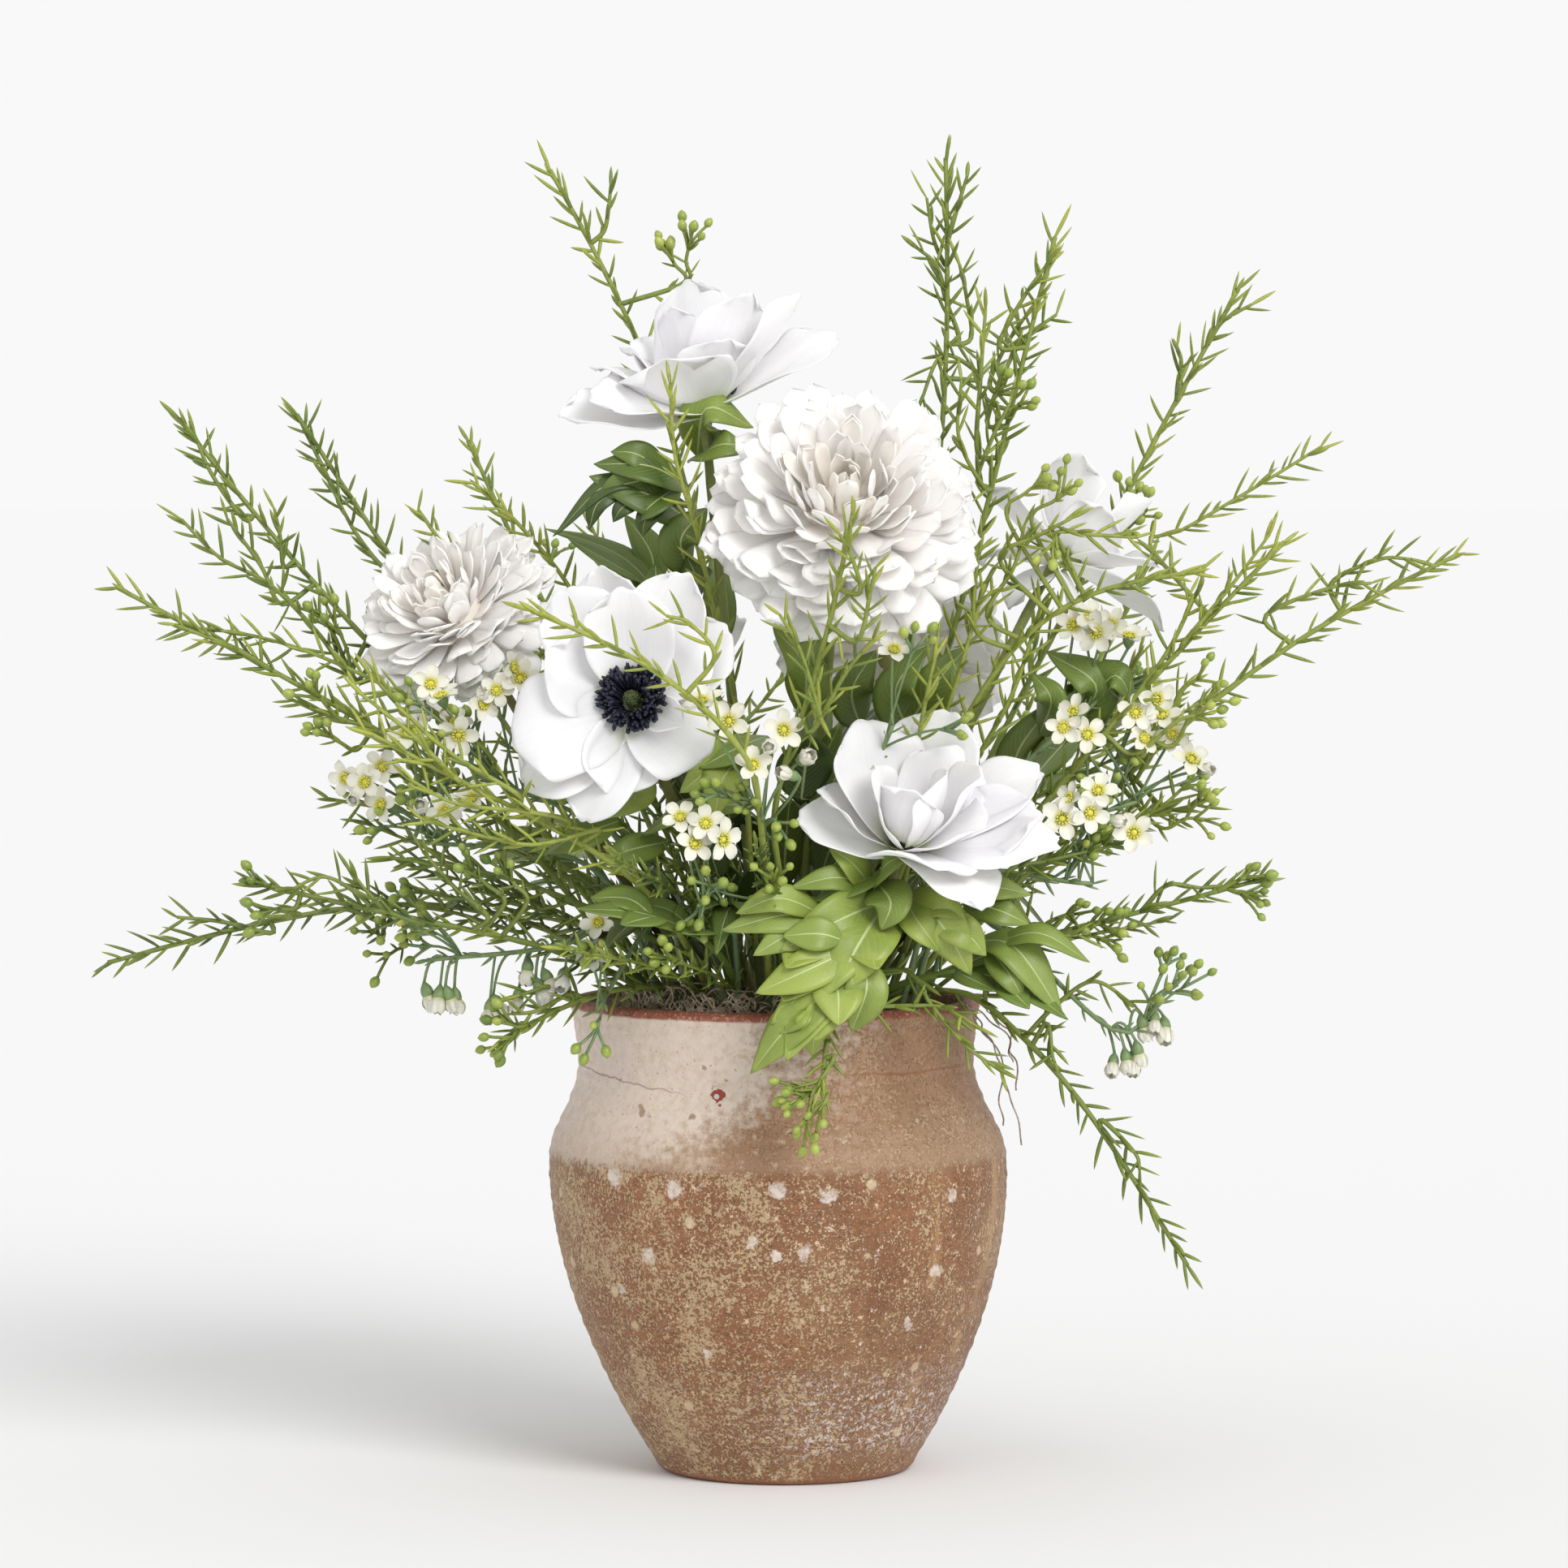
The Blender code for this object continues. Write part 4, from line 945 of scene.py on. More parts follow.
# What each sprig carries: tone, where its needles start, and its side shoots, each with its
# kind and the x, y, z of the points on its route, in millimetres from the centre of the mouth.
SPRIGS = {
    "sprig_top_left": (0.62, 0.45, (
        ("buds", -40, 36, 302, -40, 34, 311, -38, 32, 320),
        ("buds", -41, 36, 302, -45, 34, 310, -48, 34, 317),
        ("needles", -75, 37, 324, -73, 36, 333, -72, 35, 343),
    )),
    "sprig_upper_left": (0.45, 0.3, (
        ("needles", -178, 0, 133, -194, -20, 155, -213, -30, 175, -233, -35, 186, -249, -35, 202),
        ("needles", -210, -4, 166, -218, -8, 182, -232, -10, 202),
        ("needles", -226, 0, 202, -240, 6, 221, -247, 8, 237),
        ("buds", -181, -6, 140, -187, -14, 153, -194, -20, 164),
        ("buds", -178, -8, 134, -182, -14, 148, -187, -16, 159),
        ("needles", -209, -2, 182, -210, -8, 195, -212, -12, 206),
    )),
    "sprig_left": (0.62, 0.22, (
        ("needles", -117, -80, 104, -153, -74, 129, -192, -66, 147, -221, -60, 155, -242, -56, 157),
        ("needles", -211, -58, 139, -224, -64, 149, -249, -66, 159),
        ("buds", -181, -60, 119, -187, -66, 126, -191, -70, 132),
        ("buds", -175, -56, 107, -181, -62, 110, -187, -66, 114),
        ("needles", -171, -58, 115, -188, -60, 122, -204, -60, 129),
        ("needles", -148, -60, 98, -165, -56, 113, -178, -50, 125),
    )),
    "sprig_behind_dahlia": (0.34, 0.5, (
        ("needles", -170, 42, 181, -181, 40, 195, -190, 38, 212),
        ("needles", -188, 44, 209, -197, 48, 226, -205, 50, 242),
    )),
    "sprig_low_left": (0.26, 0.25, (
        ("needles", -108, -40, 30, -135, -50, 39, -161, -56, 44, -174, -60, 51),
        ("buds", -134, -60, 45, -144, -66, 48, -151, -70, 49),
        ("needles", -162, -50, 34, -181, -56, 41, -201, -60, 38),
        ("buds", -165, -50, 30, -167, -56, 31, -169, -60, 32),
        ("buds", -155, -50, 27, -159, -56, 24, -162, -60, 22),
        ("needles", -211, -56, 31, -231, -60, 36, -249, -62, 38),
        ("needles", -88, -36, 33, -115, -50, 51, -145, -60, 66, -173, -66, 78),
    )),
    "sprig_low_left_front": (0.28, 0.22, (
        ("buds", -204, -110, 51, -209, -112, 55, -213, -114, 57),
        ("buds", -197, -110, 45, -204, -114, 45, -211, -116, 44),
        ("needles", -145, -104, 38, -161, -110, 45, -174, -112, 60),
        ("needles", -119, -100, 41, -132, -106, 53, -145, -108, 68),
        ("buds", -112, -100, 47, -119, -104, 54, -125, -106, 60),
        ("buds", -103, -98, 47, -108, -100, 54, -112, -102, 60),
        ("needles", -168, -110, 48, -184, -114, 58, -200, -116, 52),
    )),
    "sprig_across_anemone": (0.85, 0.62, (
        ("needles", -26, -158, 149, -36, -162, 162, -45, -164, 165),
    )),
    "sprig_under_anemone": (0.8, 0.2, (
        ("needles", -105, -118, 91, -132, -112, 107, -152, -104, 124, -167, -96, 140),
        ("needles", -86, -110, 81, -105, -118, 85, -131, -118, 88, -151, -112, 98),
        ("needles", -131, -116, 98, -151, -110, 117, -172, -100, 133),
        ("needles", -73, -106, 77, -99, -112, 71, -122, -114, 75, -145, -112, 81),
    )),
    "sprig_top": (0.5, 0.42, (
        ("needles", 76, 25, 278, 70, 20, 295, 66, 16, 309, 58, 14, 316),
        ("needles", 81, 25, 278, 79, 22, 296, 76, 16, 309),
        ("needles", 70, 22, 309, 65, 18, 320, 62, 14, 337),
        ("needles", 86, 24, 261, 69, 20, 271, 59, 10, 250),
        ("needles", 72, 18, 320, 75, 16, 333, 79, 16, 346),
    )),
    "sprig_top_right": (0.62, 0.35, (
        ("needles", 82, -40, 230, 83, -46, 260, 85, -48, 289),
        ("needles", 86, -38, 243, 99, -34, 274, 115, -30, 287),
        ("needles", 91, -38, 274, 101, -40, 294, 111, -42, 308),
        ("buds", 88, -44, 250, 91, -48, 255, 93, -50, 258),
        ("buds", 89, -44, 240, 95, -48, 247, 100, -50, 250),
        ("needles", 84, -44, 216, 74, -48, 236, 75, -50, 260),
        ("needles", 87, -38, 257, 94, -30, 274, 102, -26, 286),
        ("needles", 82, -42, 219, 88, -48, 236, 95, -50, 250),
    )),
    "sprig_upper_right": (0.6, 0.4, (
        ("needles", 171, 56, 251, 172, 50, 268, 170, 48, 275),
        ("buds", 139, 50, 195, 147, 40, 203, 150, 36, 212),
        ("buds", 135, 48, 184, 149, 36, 198, 156, 30, 205),
        ("needles", 181, 58, 275, 190, 56, 286, 202, 54, 293),
        ("buds", 135, 44, 181, 142, 34, 195, 146, 28, 198),
    )),
    "sprig_right": (0.72, 0.28, (
        ("needles", 167, -60, 152, 187, -60, 176, 202, -58, 196),
        ("needles", 147, -52, 125, 161, -56, 149, 174, -56, 176),
        ("needles", 157, 20, 191, 171, 22, 197, 207, 26, 218, 230, 30, 232),
        ("buds", 161, -50, 122, 167, -54, 132, 172, -58, 136),
        ("buds", 161, -52, 108, 170, -58, 122, 177, -60, 128),
        ("buds", 147, -52, 105, 164, -60, 119, 176, -62, 122),
    )),
    "sprig_far_right": (0.66, 0.3, (
        ("needles", 204, -8, 161, 231, -10, 173, 248, -12, 175),
        ("needles", 232, -6, 175, 252, -10, 185, 265, -12, 185),
        ("buds", 165, -40, 77, 171, -46, 82, 175, -50, 88),
        ("buds", 158, -40, 74, 168, -48, 78, 176, -52, 78),
        ("needles", 135, -30, 73, 155, -40, 80, 171, -46, 94),
        ("needles", 149, -24, 93, 159, -30, 114, 167, -32, 131),
    )),
    "sprig_arching_right": (0.72, 0.4, (
        ("buds", 93, -80, 203, 100, -86, 213, 104, -88, 216),
        ("buds", 103, -80, 201, 112, -86, 210, 116, -88, 214),
        ("needles", 113, -78, 196, 129, -78, 196, 146, -76, 195),
        ("buds", 113, -80, 196, 112, -86, 194, 111, -88, 191),
        ("needles", 90, -76, 186, 106, -84, 196, 119, -88, 203),
        ("needles", 85, -72, 163, 96, -76, 183, 100, -80, 200),
        ("needles", 81, -70, 156, 80, -76, 176, 83, -80, 196),
    )),
    "sprig_low_right": (0.42, 0.28, (
        ("buds", 180, -60, 48, 189, -62, 53, 195, -62, 55),
        ("buds", 184, -60, 49, 190, -64, 48, 196, -66, 47),
        ("needles", 147, -56, 41, 160, -60, 51, 174, -60, 50),
        ("buds", 110, -52, 34, 117, -56, 38, 122, -58, 39),
        ("buds", 120, -52, 34, 129, -56, 34, 136, -58, 36),
        ("buds", 124, -52, 30, 132, -56, 29, 138, -58, 28),
        ("needles", 98, -60, 52, 128, -56, 67, 153, -52, 80),
        ("needles", 93, -64, 55, 113, -64, 62, 140, -60, 68),
    )),
    "sprig_trailing_right": (0.45, 0.3, (
        ("needles", 114, -50, 0, 130, -56, 11, 147, -60, 1),
        ("needles", 111, -50, -7, 113, -54, -20, 114, -54, -23),
        ("needles", 134, -56, -47, 147, -60, -60, 149, -60, -67),
        ("needles", 87, -60, 14, 103, -66, 28, 123, -66, 31),
    )),
    "sprig_trailing_front": (0.62, 0.3, (
        ("buds", 16, -116, -24, 13, -120, -30, 11, -122, -42),
        ("buds", 18, -116, -24, 14, -118, -29, 8, -122, -31),
        ("buds", 19, -116, -26, 19, -122, -30, 17, -124, -35),
        ("buds", 22, -114, -15, 16, -118, -24, 6, -120, -27),
        ("needles", 50, -84, 18, 62, -94, 4, 76, -100, -12, 90, -102, -22),
        ("needles", 62, -94, 4, 72, -100, 1, 79, -104, -3),
    )),
    "sprig_trailing_left": (0.45, 0.2, (
        ("needles", -80, -70, 5, -94, -74, 10, -107, -78, 7),
        ("buds", -106, -86, -4, -110, -88, -10, -114, -88, -13),
        ("buds", -100, -84, -4, -106, -90, -5, -112, -90, -3),
        ("needles", -87, -74, 7, -100, -84, 1, -110, -86, 0),
    )),
    "sprig_before_dahlia": (0.66, 0.55, (
        ("needles", 32, -152, 174, 29, -154, 187, 24, -156, 197),
        ("needles", 31, -150, 155, 36, -154, 174, 38, -156, 184),
        ("needles", 16, -140, 125, 8, -146, 151, 0, -148, 165),
        ("needles", 13, -130, 118, 26, -140, 141, 37, -144, 155),
    )),
    "sprig_rear_left": (0.5, 0.3, (
        ("needles", -90, 120, 130, -120, 150, 150, -150, 165, 176),
        ("buds", -110, 145, 165, -100, 160, 185), ("needles", -80, 110, 120, -70, 150, 160, -84, 176, 196),
    )),
    "sprig_rear": (0.55, 0.3, (
        ("needles", -30, 140, 96, -6, 176, 120, 8, 196, 140),
        ("needles", -26, 130, 90, -60, 160, 104, -84, 180, 112), ("buds", -38, 180, 134, -28, 194, 150),
    )),
    "sprig_rear_right": (0.45, 0.3, (
        ("needles", 115, 125, 86, 160, 140, 104, 188, 146, 120),
        ("needles", 110, 122, 84, 110, 150, 120, 116, 166, 160), ("buds", 140, 150, 120, 156, 166, 128),
    )),
}


def side_shoot(line, route):
    """A shoot through the route's points, which starts where the line comes nearest to them."""
    route = spots_of(route)
    start = line[np.linalg.norm(line - route[0], axis=1).argmin()]
    if np.linalg.norm(start - route[0]) < 0.004:
        route = route[1:]
    return through([start, *route], 26)


def add_needles(surface, line, rng, start, tone, length=0.0148, spacing=0.0037, slot=0):
    """Needles round a line on golden angles, closer and more upright towards its tip."""
    reach = np.linalg.norm(np.diff(line, axis=0), axis=1).sum()
    count = max(int(reach * (1 - start) / spacing), 7)
    at = start + (1 - start) * np.linspace(0, 1, count) ** 0.85
    steps = np.linspace(0, 1, len(line))
    tangent, first, second = across_of(line[None])
    read = lambda values: np.stack([np.interp(at, steps, values[:, i]) for i in range(3)], axis=1)
    base, along = read(line), unit(read(tangent[0]))
    turn = np.arange(count) * GOLDEN + rng.normal(0, 0.3, count)
    out = np.cos(turn)[:, None] * read(first[0]) + np.sin(turn)[:, None] * read(second[0])
    out = unit(out - along * (out * along).sum(axis=1, keepdims=True))
    near_tip = np.clip((at - 0.9) / 0.1, 0, 1)
    lean = np.radians(46 - 20 * near_tip + rng.normal(0, 9, count))
    size = length * rng.uniform(0.65, 1.12, count) * (1 - 0.15 * near_tip)
    shades = np.clip(tone + 0.2 * near_tip + rng.normal(0, 0.11, count), 0, 1)
    width = 0.00082 * rng.uniform(0.85, 1.2, count)[:, None, None] * (length / 0.0125) ** 0.4
    grid = blades(base, along, out, size, width, lean, rng.uniform(0.0, 0.22, count))
    surface.add(grid, wrap=True, tone=shades, slot=slot)


def add_buds(surface, line, rng, tone, count=6, slots=(1, 2)):
    """Egg-shaped buds on short stalks that fan out of the end of a line."""
    heading = unit(line[-1] - line[-2])
    _, first, second = across_of(line[None])
    turn = np.arange(count) * GOLDEN + rng.random() * 6
    spread = rng.uniform(0.35, 0.95, count)
    out = np.cos(turn)[:, None] * first[0, -1] + np.sin(turn)[:, None] * second[0, -1]
    reach = rng.uniform(0.005, 0.010, count)[:, None]
    starts = line[-1] - heading * rng.uniform(0, 0.007, count)[:, None]
    ends = starts + (heading + out * spread[:, None]) * reach
    stalks = arcs(starts, ends, heading * reach * 0.15, 5)
    surface.add(tubes(stalks, np.full((count, 5), 0.0007), 5), wrap=True, tone=tone, slot=slots[0])
    facing = unit(ends - starts + heading * 0.004)
    size = rng.uniform(0.8, 1.15, count)
    grid = beads(ends + facing * 0.0020, facing, 0.00215 * size, 0.0056 * size, 7, 8, 0.15)
    shades = np.clip(tone + rng.normal(0, 0.15, count), 0, 1)
    surface.add(grid, wrap=True, tone=shades, slot=slots[1])


# Shoots that stand among the flowers: tone, and the points of the route from the moss.
LONE_SHOOTS = (
    (0.66, -40, -10, 20, -92, -26, 110, -109, -32, 162, -134, -38, 184, -150, -44, 206),
    (0.7, -30, 0, 20, -70, -6, 130, -86, -22, 170, -107, -34, 198, -127, -44, 217),
    (0.84, -10, -30, 20, -16, -40, 110, -28, -48, 166, -34, -62, 196, -43, -68, 228, -45, -70, 258),
    (0.78, 46, -20, 20, 60, -50, 90, 74, -66, 140, 84, -74, 176),
    (0.74, 52, -16, 20, 76, -40, 90, 96, -56, 130, 108, -62, 168),
    (0.8, 40, -24, 20, 52, -60, 80, 58, -84, 120, 64, -92, 150),
    (0.36, -46, -16, 20, -92, -30, 60, -130, -40, 84, -164, -44, 98),
    (0.3, -40, -30, 20, -84, -60, 44, -124, -76, 58, -160, -84, 64),
    (0.4, -50, 0, 20, -100, 0, 56, -150, -4, 76, -190, -6, 84),
    (0.62, 54, 0, 20, 100, -10, 70, 132, -20, 110, 150, -26, 146),
    (0.55, 50, -10, 20, 96, -24, 50, 140, -34, 74, 176, -40, 84),
)


def make_sprigs(rng):
    """Each sprig's twig with faint joints, its side shoots, needles and buds, as one piece."""
    for name in SPRIG_NAMES:
        tone, start, shoots = SPRIGS[name]
        line = line_of(name, 60)
        shown = above_moss(line)
        surface = Surface()
        along = np.linspace(0, 1, len(line))
        radius = (0.0016 - 0.0007 * along) * (1 + 0.14 * np.sin(along * 52) ** 8)
        surface.add(tubes(line[None], radius[None], 8), wrap=True, tone=tone, slot=1)
        add_needles(surface, shown, rng, start, tone)
        for kind, *route in shoots:
            shoot = side_shoot(shown, route)
            add_twig(surface, shoot, 0.00115, 0.0007, 6, tone)
            if kind == "needles":
                add_needles(surface, shoot, rng, 0.12, tone, 0.0135)
            else:
                add_needles(surface, shoot, rng, 0.3, tone, 0.007, 0.007)
                add_buds(surface, shoot, rng, tone, int(rng.integers(3, 6)))
        make_piece(name.replace("sprig_", "needle_sprig_"), surface, [NEEDLE, TWIG, BUD], [name])
    surface = Surface()
    for tone, *route in LONE_SHOOTS:
        line = through(spots_of(route), 40)
        add_twig(surface, line, 0.0014, 0.0008, 7, tone)
        add_needles(surface, line, rng, 0.28, tone)
    make_piece("lone_shoots", surface, [NEEDLE, TWIG, BUD])


# ---------------------------------------------------------------- wax flowers


# Sprays of small flowers: foot on the moss, then the flowers, in millimetres from the mouth.
SPRAYS = {
    "centre": ((-4, -48), (
        (-31, -140, 129), (-20, -138, 122), (-11, -138, 104), (5, -132, 100), (1, -130, 118),
        (9, -125, 106), (-4, -136, 112),
    )),
    "low_centre": ((-16, -50), (
        (-35, -127, 72), (-24, -127, 74), (-40, -124, 82), (-30, -126, 80),
    )),
    "right_of_centre": ((20, -40), (
        (46, -112, 149),
    )),
    "upper_left": ((-30, -40), (
        (-110, -88, 142), (-122, -90, 127), (-138, -88, 129), (-148, -82, 116), (-131, -90, 115),
        (-143, -84, 135), (-106, -88, 137), (-116, -90, 133),
    )),
    "left": ((-44, -30), (
        (-170, -72, 94), (-163, -74, 85), (-133, -84, 118), (-147, -80, 121), (-121, -88, 129),
        (-153, -80, 114), (-175, -70, 87), (-178, -66, 96), (-147, -80, 84), (-137, -82, 83),
        (-164, -70, 100), (-125, -86, 88),
    )),
    "low_left": ((-36, -44), (
        (-74, -87, 37), (-77, -87, 24),
    )),
    "upper_right": ((52, -26), (
        (128, -42, 161), (138, -42, 158), (132, -44, 155), (122, -42, 158), (145, -40, 152),
    )),
    "right": ((50, -34), (
        (122, -60, 122), (117, -62, 117), (155, -50, 128), (159, -50, 120), (170, -48, 102), (175, -46, 98),
        (147, -52, 122), (127, -58, 113), (163, -48, 113), (150, -52, 111),
    )),
    "low_right": ((46, -40), (
        (120, -72, 87), (127, -72, 82), (136, -70, 79), (146, -68, 73), (116, -74, 79), (131, -70, 90),
    )),
}
HANGING = {
    "hanging_left": ((-50, -20), (
        (-146, -60, 7), (-141, -62, 6), (-137, -62, 6), (-134, -60, 5), (-120, -66, 1), (-117, -66, 3),
        (-108, -70, 6), (-99, -72, 10), (-96, -72, 14), (-104, -70, 18), (-89, -74, 15),
    )),
    "hanging_right": ((56, -14), (
        (159, -60, -7), (155, -62, -4), (150, -62, -6), (148, -62, -17), (143, -62, -20), (138, -60, -22),
        (146, -60, -21),
    )),
}


def add_wax_flowers(surface, spots, facing, rng, closed):
    """Five round petals in a green cup with a yellow ring; closed ones keep their petals shut."""
    for spot, face in zip(spots, facing):
        head = Bloom(spot, face)
        shut = closed or (len(spots) > 4 and rng.random() < 0.16)
        size = rng.uniform(0.9, 1.15) * (1.05 if shut else 1.0)
        azimuth = np.arange(5) * 2 * math.pi / 5 + rng.random() * 6
        tilt, curl = (0.55, -1.1) if shut else (1.15 + 0.2 * rng.random(), 0.25)
        grid = petals(
            head, azimuth, 0.0019 * size, 0.0012, tilt, curl, 0.0066 * size, 0.0030 * size,
            cup=0.7, neck=0.45, rise=0.5, tip=0.5, ruffle=0.0004, phase=rng.random(5) * 6, rows=7, columns=6,
        )  # fmt: skip
        surface.add(grid, tone=rng.random(5) * 0.6)
        cup_line = head.centre + np.linspace(-0.0042, 0.0018, 6)[:, None] * head.z
        cup_radius = np.array((0.0006, 0.0013, 0.0020, 0.0023, 0.0024, 0.0021)) * size
        surface.add(tubes(cup_line[None], cup_radius[None], 9), wrap=True, tone=0.6, slot=1)
        if shut:
            tip = head.centre + head.z * 0.0022 * size
            add_bead(surface, tip, head.z, 0.0023 * size, 0.0062 * size, 7, 9)
        else:
            turn = np.arange(10) * 2 * math.pi / 10
            dots = spot_on(head, turn, 0.0019 * size, 0.0024)
            grid = beads(dots, unit(dots - head.centre), np.full(10, 0.00062), np.full(10, 0.0019), 4, 5)
            surface.add(grid, wrap=True, slot=2)
            add_bead(surface, head.centre + head.z * 0.0016, head.z, 0.0016, 0.0026, 5, 8, slot=2)


class Bloom:
    """The frame of a small flower: centre, axis, and two directions square to it."""

    def __init__(self, centre, axis):
        self.centre, self.z = centre, unit(axis)
        self.x = unit(np.cross((0.3, 0.2, 1.0), self.z))
        self.y = np.cross(self.z, self.x)


def make_sprays(rng):
    """Sprays: one main stem from the moss to below the flowers, then a stalk to each of them."""
    for closed, table in ((False, SPRAYS), (True, HANGING)):
        for name, (foot, flowers) in table.items():
            spots = spots_of(flowers)
            middle = spots.mean(axis=0)
            ground = np.array((foot[0] * MM, foot[1] * MM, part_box("moss")[1][2]))
            way = (middle + (0, 0.012, -0.030))[None]
            if closed:
                way = spots[np.abs(spots[:, 0]).argsort()[[0, -1]]] + (0, 0, 0.013)
            rise = ground + (0, 0, 0.05) + (way[0] - ground) * (0.30, 0.30, 0.25)
            stem = through([ground, rise, *way], 24)
            surface = Surface()
            add_twig(surface, stem, 0.0014, 0.0009, 8, 0.5)
            count = len(spots)
            starts = stem[-1 - np.arange(count) % 4]
            facing = np.array((0, -1.0, 0.35)) + rng.normal(0, 0.38, (count, 3)) + (spots - middle) * 9
            if closed:
                facing = np.array((0.1, -0.25, -1.0)) + rng.normal(0, 0.3, (count, 3))
                nearest = np.linalg.norm(spots[:, None] - stem, axis=2).argmin(axis=1)
                starts = stem[np.clip(nearest - 1, 8, 23)]
            facing = unit(facing)
            ends = spots - facing * 0.0040
            stalks = arcs(starts, ends, -facing * 0.006 + (0, 0, 0.004), 8)
            surface.add(tubes(stalks, np.full((count, 8), 0.00062), 6), wrap=True, tone=0.55, slot=1)
            add_needles(surface, stem, rng, 0.25, 0.5, 0.0085, 0.0055, 1)
            add_wax_flowers(surface, spots, facing, rng, closed)
            for _ in range(2 + count // 3):
                tip = stem[-1] + rng.normal(0, 0.012, 3) + (0, -0.004, 0.012)
                shoot = arcs(stem[-3:-2], tip[None], np.array(((0, 0, 0.004),)), 6)[0]
                add_twig(surface, shoot, 0.0006, 0.0006, 5, 0.5)
                add_buds(surface, shoot, rng, 0.5, 4, slots=(1, 3))
            make_piece(f"wax_spray_{name}", surface, [SMALL_PETAL, WAXY, YELLOW, BUD])


# ---------------------------------------------------------------- leaves


# Lobes of the leaves that grow on the stems: tone, half width in millimetres, and the x, y, z of
# three points from foot to tip, in millimetres from the mouth.
LEAF_LOBES = (
    (0.8, 13, 45, -84, 47, 26, -108, 41, 0, -114, 28), (0.84, 13, 43, -86, 43, 23, -114, 25, -4, -117, -2),
    (0.7, 9, 26, -112, 32, 16, -116, 35, 1, -114, 34), (0.76, 8, 53, -90, 43, 69, -106, 45, 80, -100, 38),
    (0.58, 10, 43, -80, 59, 33, -98, 55, 13, -100, 47),
    (0.28, 12, -38, -28, 202, -54, -52, 212, -79, -52, 220),
    (0.62, 13, -5, -58, 113, -19, -84, 108, -33, -92, 101),
    (0.72, 11, 38, -86, 30, 8, -106, 42, -24, -112, 36), (0.7, 8, 19, -100, 39, 5, -110, 35, -11, -114, 26),
    (0.76, 8, 19, -100, 41, 0, -110, 49, -18, -112, 43), (0.8, 17, 44, -84, 46, 33, -112, 32, 20, -118, 8),
    (0.82, 11, 33, -110, 30, 8, -119, 19, -10, -118, 11),
    (0.74, 12, 28, -114, 18, 5, -120, -1, -12, -113, -22),
    (0.78, 9, 24, -116, 14, 15, -119, -2, 13, -113, -15),
    (0.72, 11, 34, -111, 26, 35, -118, 12, 29, -113, -5),
    (0.86, 13, 48, -84, 48, 64, -106, 40, 78, -102, 17),
    (0.84, 9, 59, -100, 42, 75, -108, 35, 84, -102, 25), (0.8, 9, 51, -90, 47, 57, -108, 38, 65, -106, 27),
    (0.66, 7, 38, -90, 52, 23, -104, 57, 4, -106, 53), (0.74, 8, 38, -90, 52, 29, -102, 63, 20, -102, 69),
    (0.7, 9, 39, -90, 52, 43, -104, 62, 53, -102, 67), (0.64, 12, 39, -92, 55, 45, -110, 47, 41, -110, 36),
    (0.62, 11, 78, -62, 28, 96, -82, 27, 116, -84, -1), (0.68, 7, 86, -72, 27, 106, -86, 33, 127, -84, 21),
    (0.6, 8, 85, -70, 27, 94, -86, 16, 100, -84, 5), (0.72, 8, 73, -70, 47, 87, -90, 52, 103, -88, 49),
    (0.66, 9, 75, -72, 45, 89, -92, 43, 102, -90, 37),
    (0.86, 12, -9, -60, 107, -25, -86, 103, -41, -94, 91),
    (0.84, 11, -15, -74, 104, -23, -92, 97, -27, -92, 81),
    (0.7, 12, -52, -66, 97, -64, -88, 90, -80, -90, 81), (0.6, 9, -65, -76, 79, -85, -86, 72, -97, -80, 65),
    (0.58, 8, -45, -70, 70, -62, -86, 67, -75, -84, 61),
    (0.56, 11, -10, -60, 85, -37, -84, 83, -57, -84, 73),
    (0.34, 12, -37, -34, 215, -54, -54, 224, -77, -52, 225),
    (0.38, 8, -49, -48, 220, -66, -56, 216, -75, -54, 211),
    (0.36, 8, -46, -46, 220, -59, -54, 229, -70, -52, 230),
    (0.3, 9, -42, -42, 216, -53, -56, 208, -59, -52, 201),
    (0.14, 6.5, -35, -32, 206, -67, -54, 218, -94, -50, 195),
    (0.14, 5, -64, -52, 214, -75, -56, 209, -79, -52, 198),
    (0.16, 5, -56, -48, 212, -65, -56, 207, -69, -52, 201),
    (0.2, 6, -47, -44, 210, -55, -54, 203, -57, -50, 195),
    (0.66, 12, -35, -26, 228, -30, -50, 248, -11, -44, 240),
    (0.6, 10, -38, -26, 226, -24, -52, 233, -12, -44, 231),
    (0.3, 12, -38, -26, 180, -41, -46, 194, -30, -42, 207),
    (0.26, 10, -42, -28, 160, -50, -44, 173, -52, -40, 184),
    (0.24, 10, -34, -20, 168, -35, -36, 178, -39, -34, 187),
    (0.64, 11, 10, -40, 119, 10, -64, 142, -3, -66, 158),
    (0.6, 9, 16, -42, 126, 12, -66, 145, 20, -64, 160),
    (0.46, 12, 51, -28, 112, 65, -54, 135, 78, -50, 150),
    (0.42, 12, 54, -24, 112, 48, -54, 132, 61, -54, 150),
    (0.4, 12, 34, -20, 114, 30, -40, 131, 40, -44, 148),
    (0.55, 12, 119, -10, 113, 132, -34, 132, 111, -30, 147),
    (0.5, 11, 126, -12, 117, 139, -38, 137, 148, -34, 124),
    (0.48, 10, 109, -8, 111, 113, -36, 127, 105, -30, 138),
)

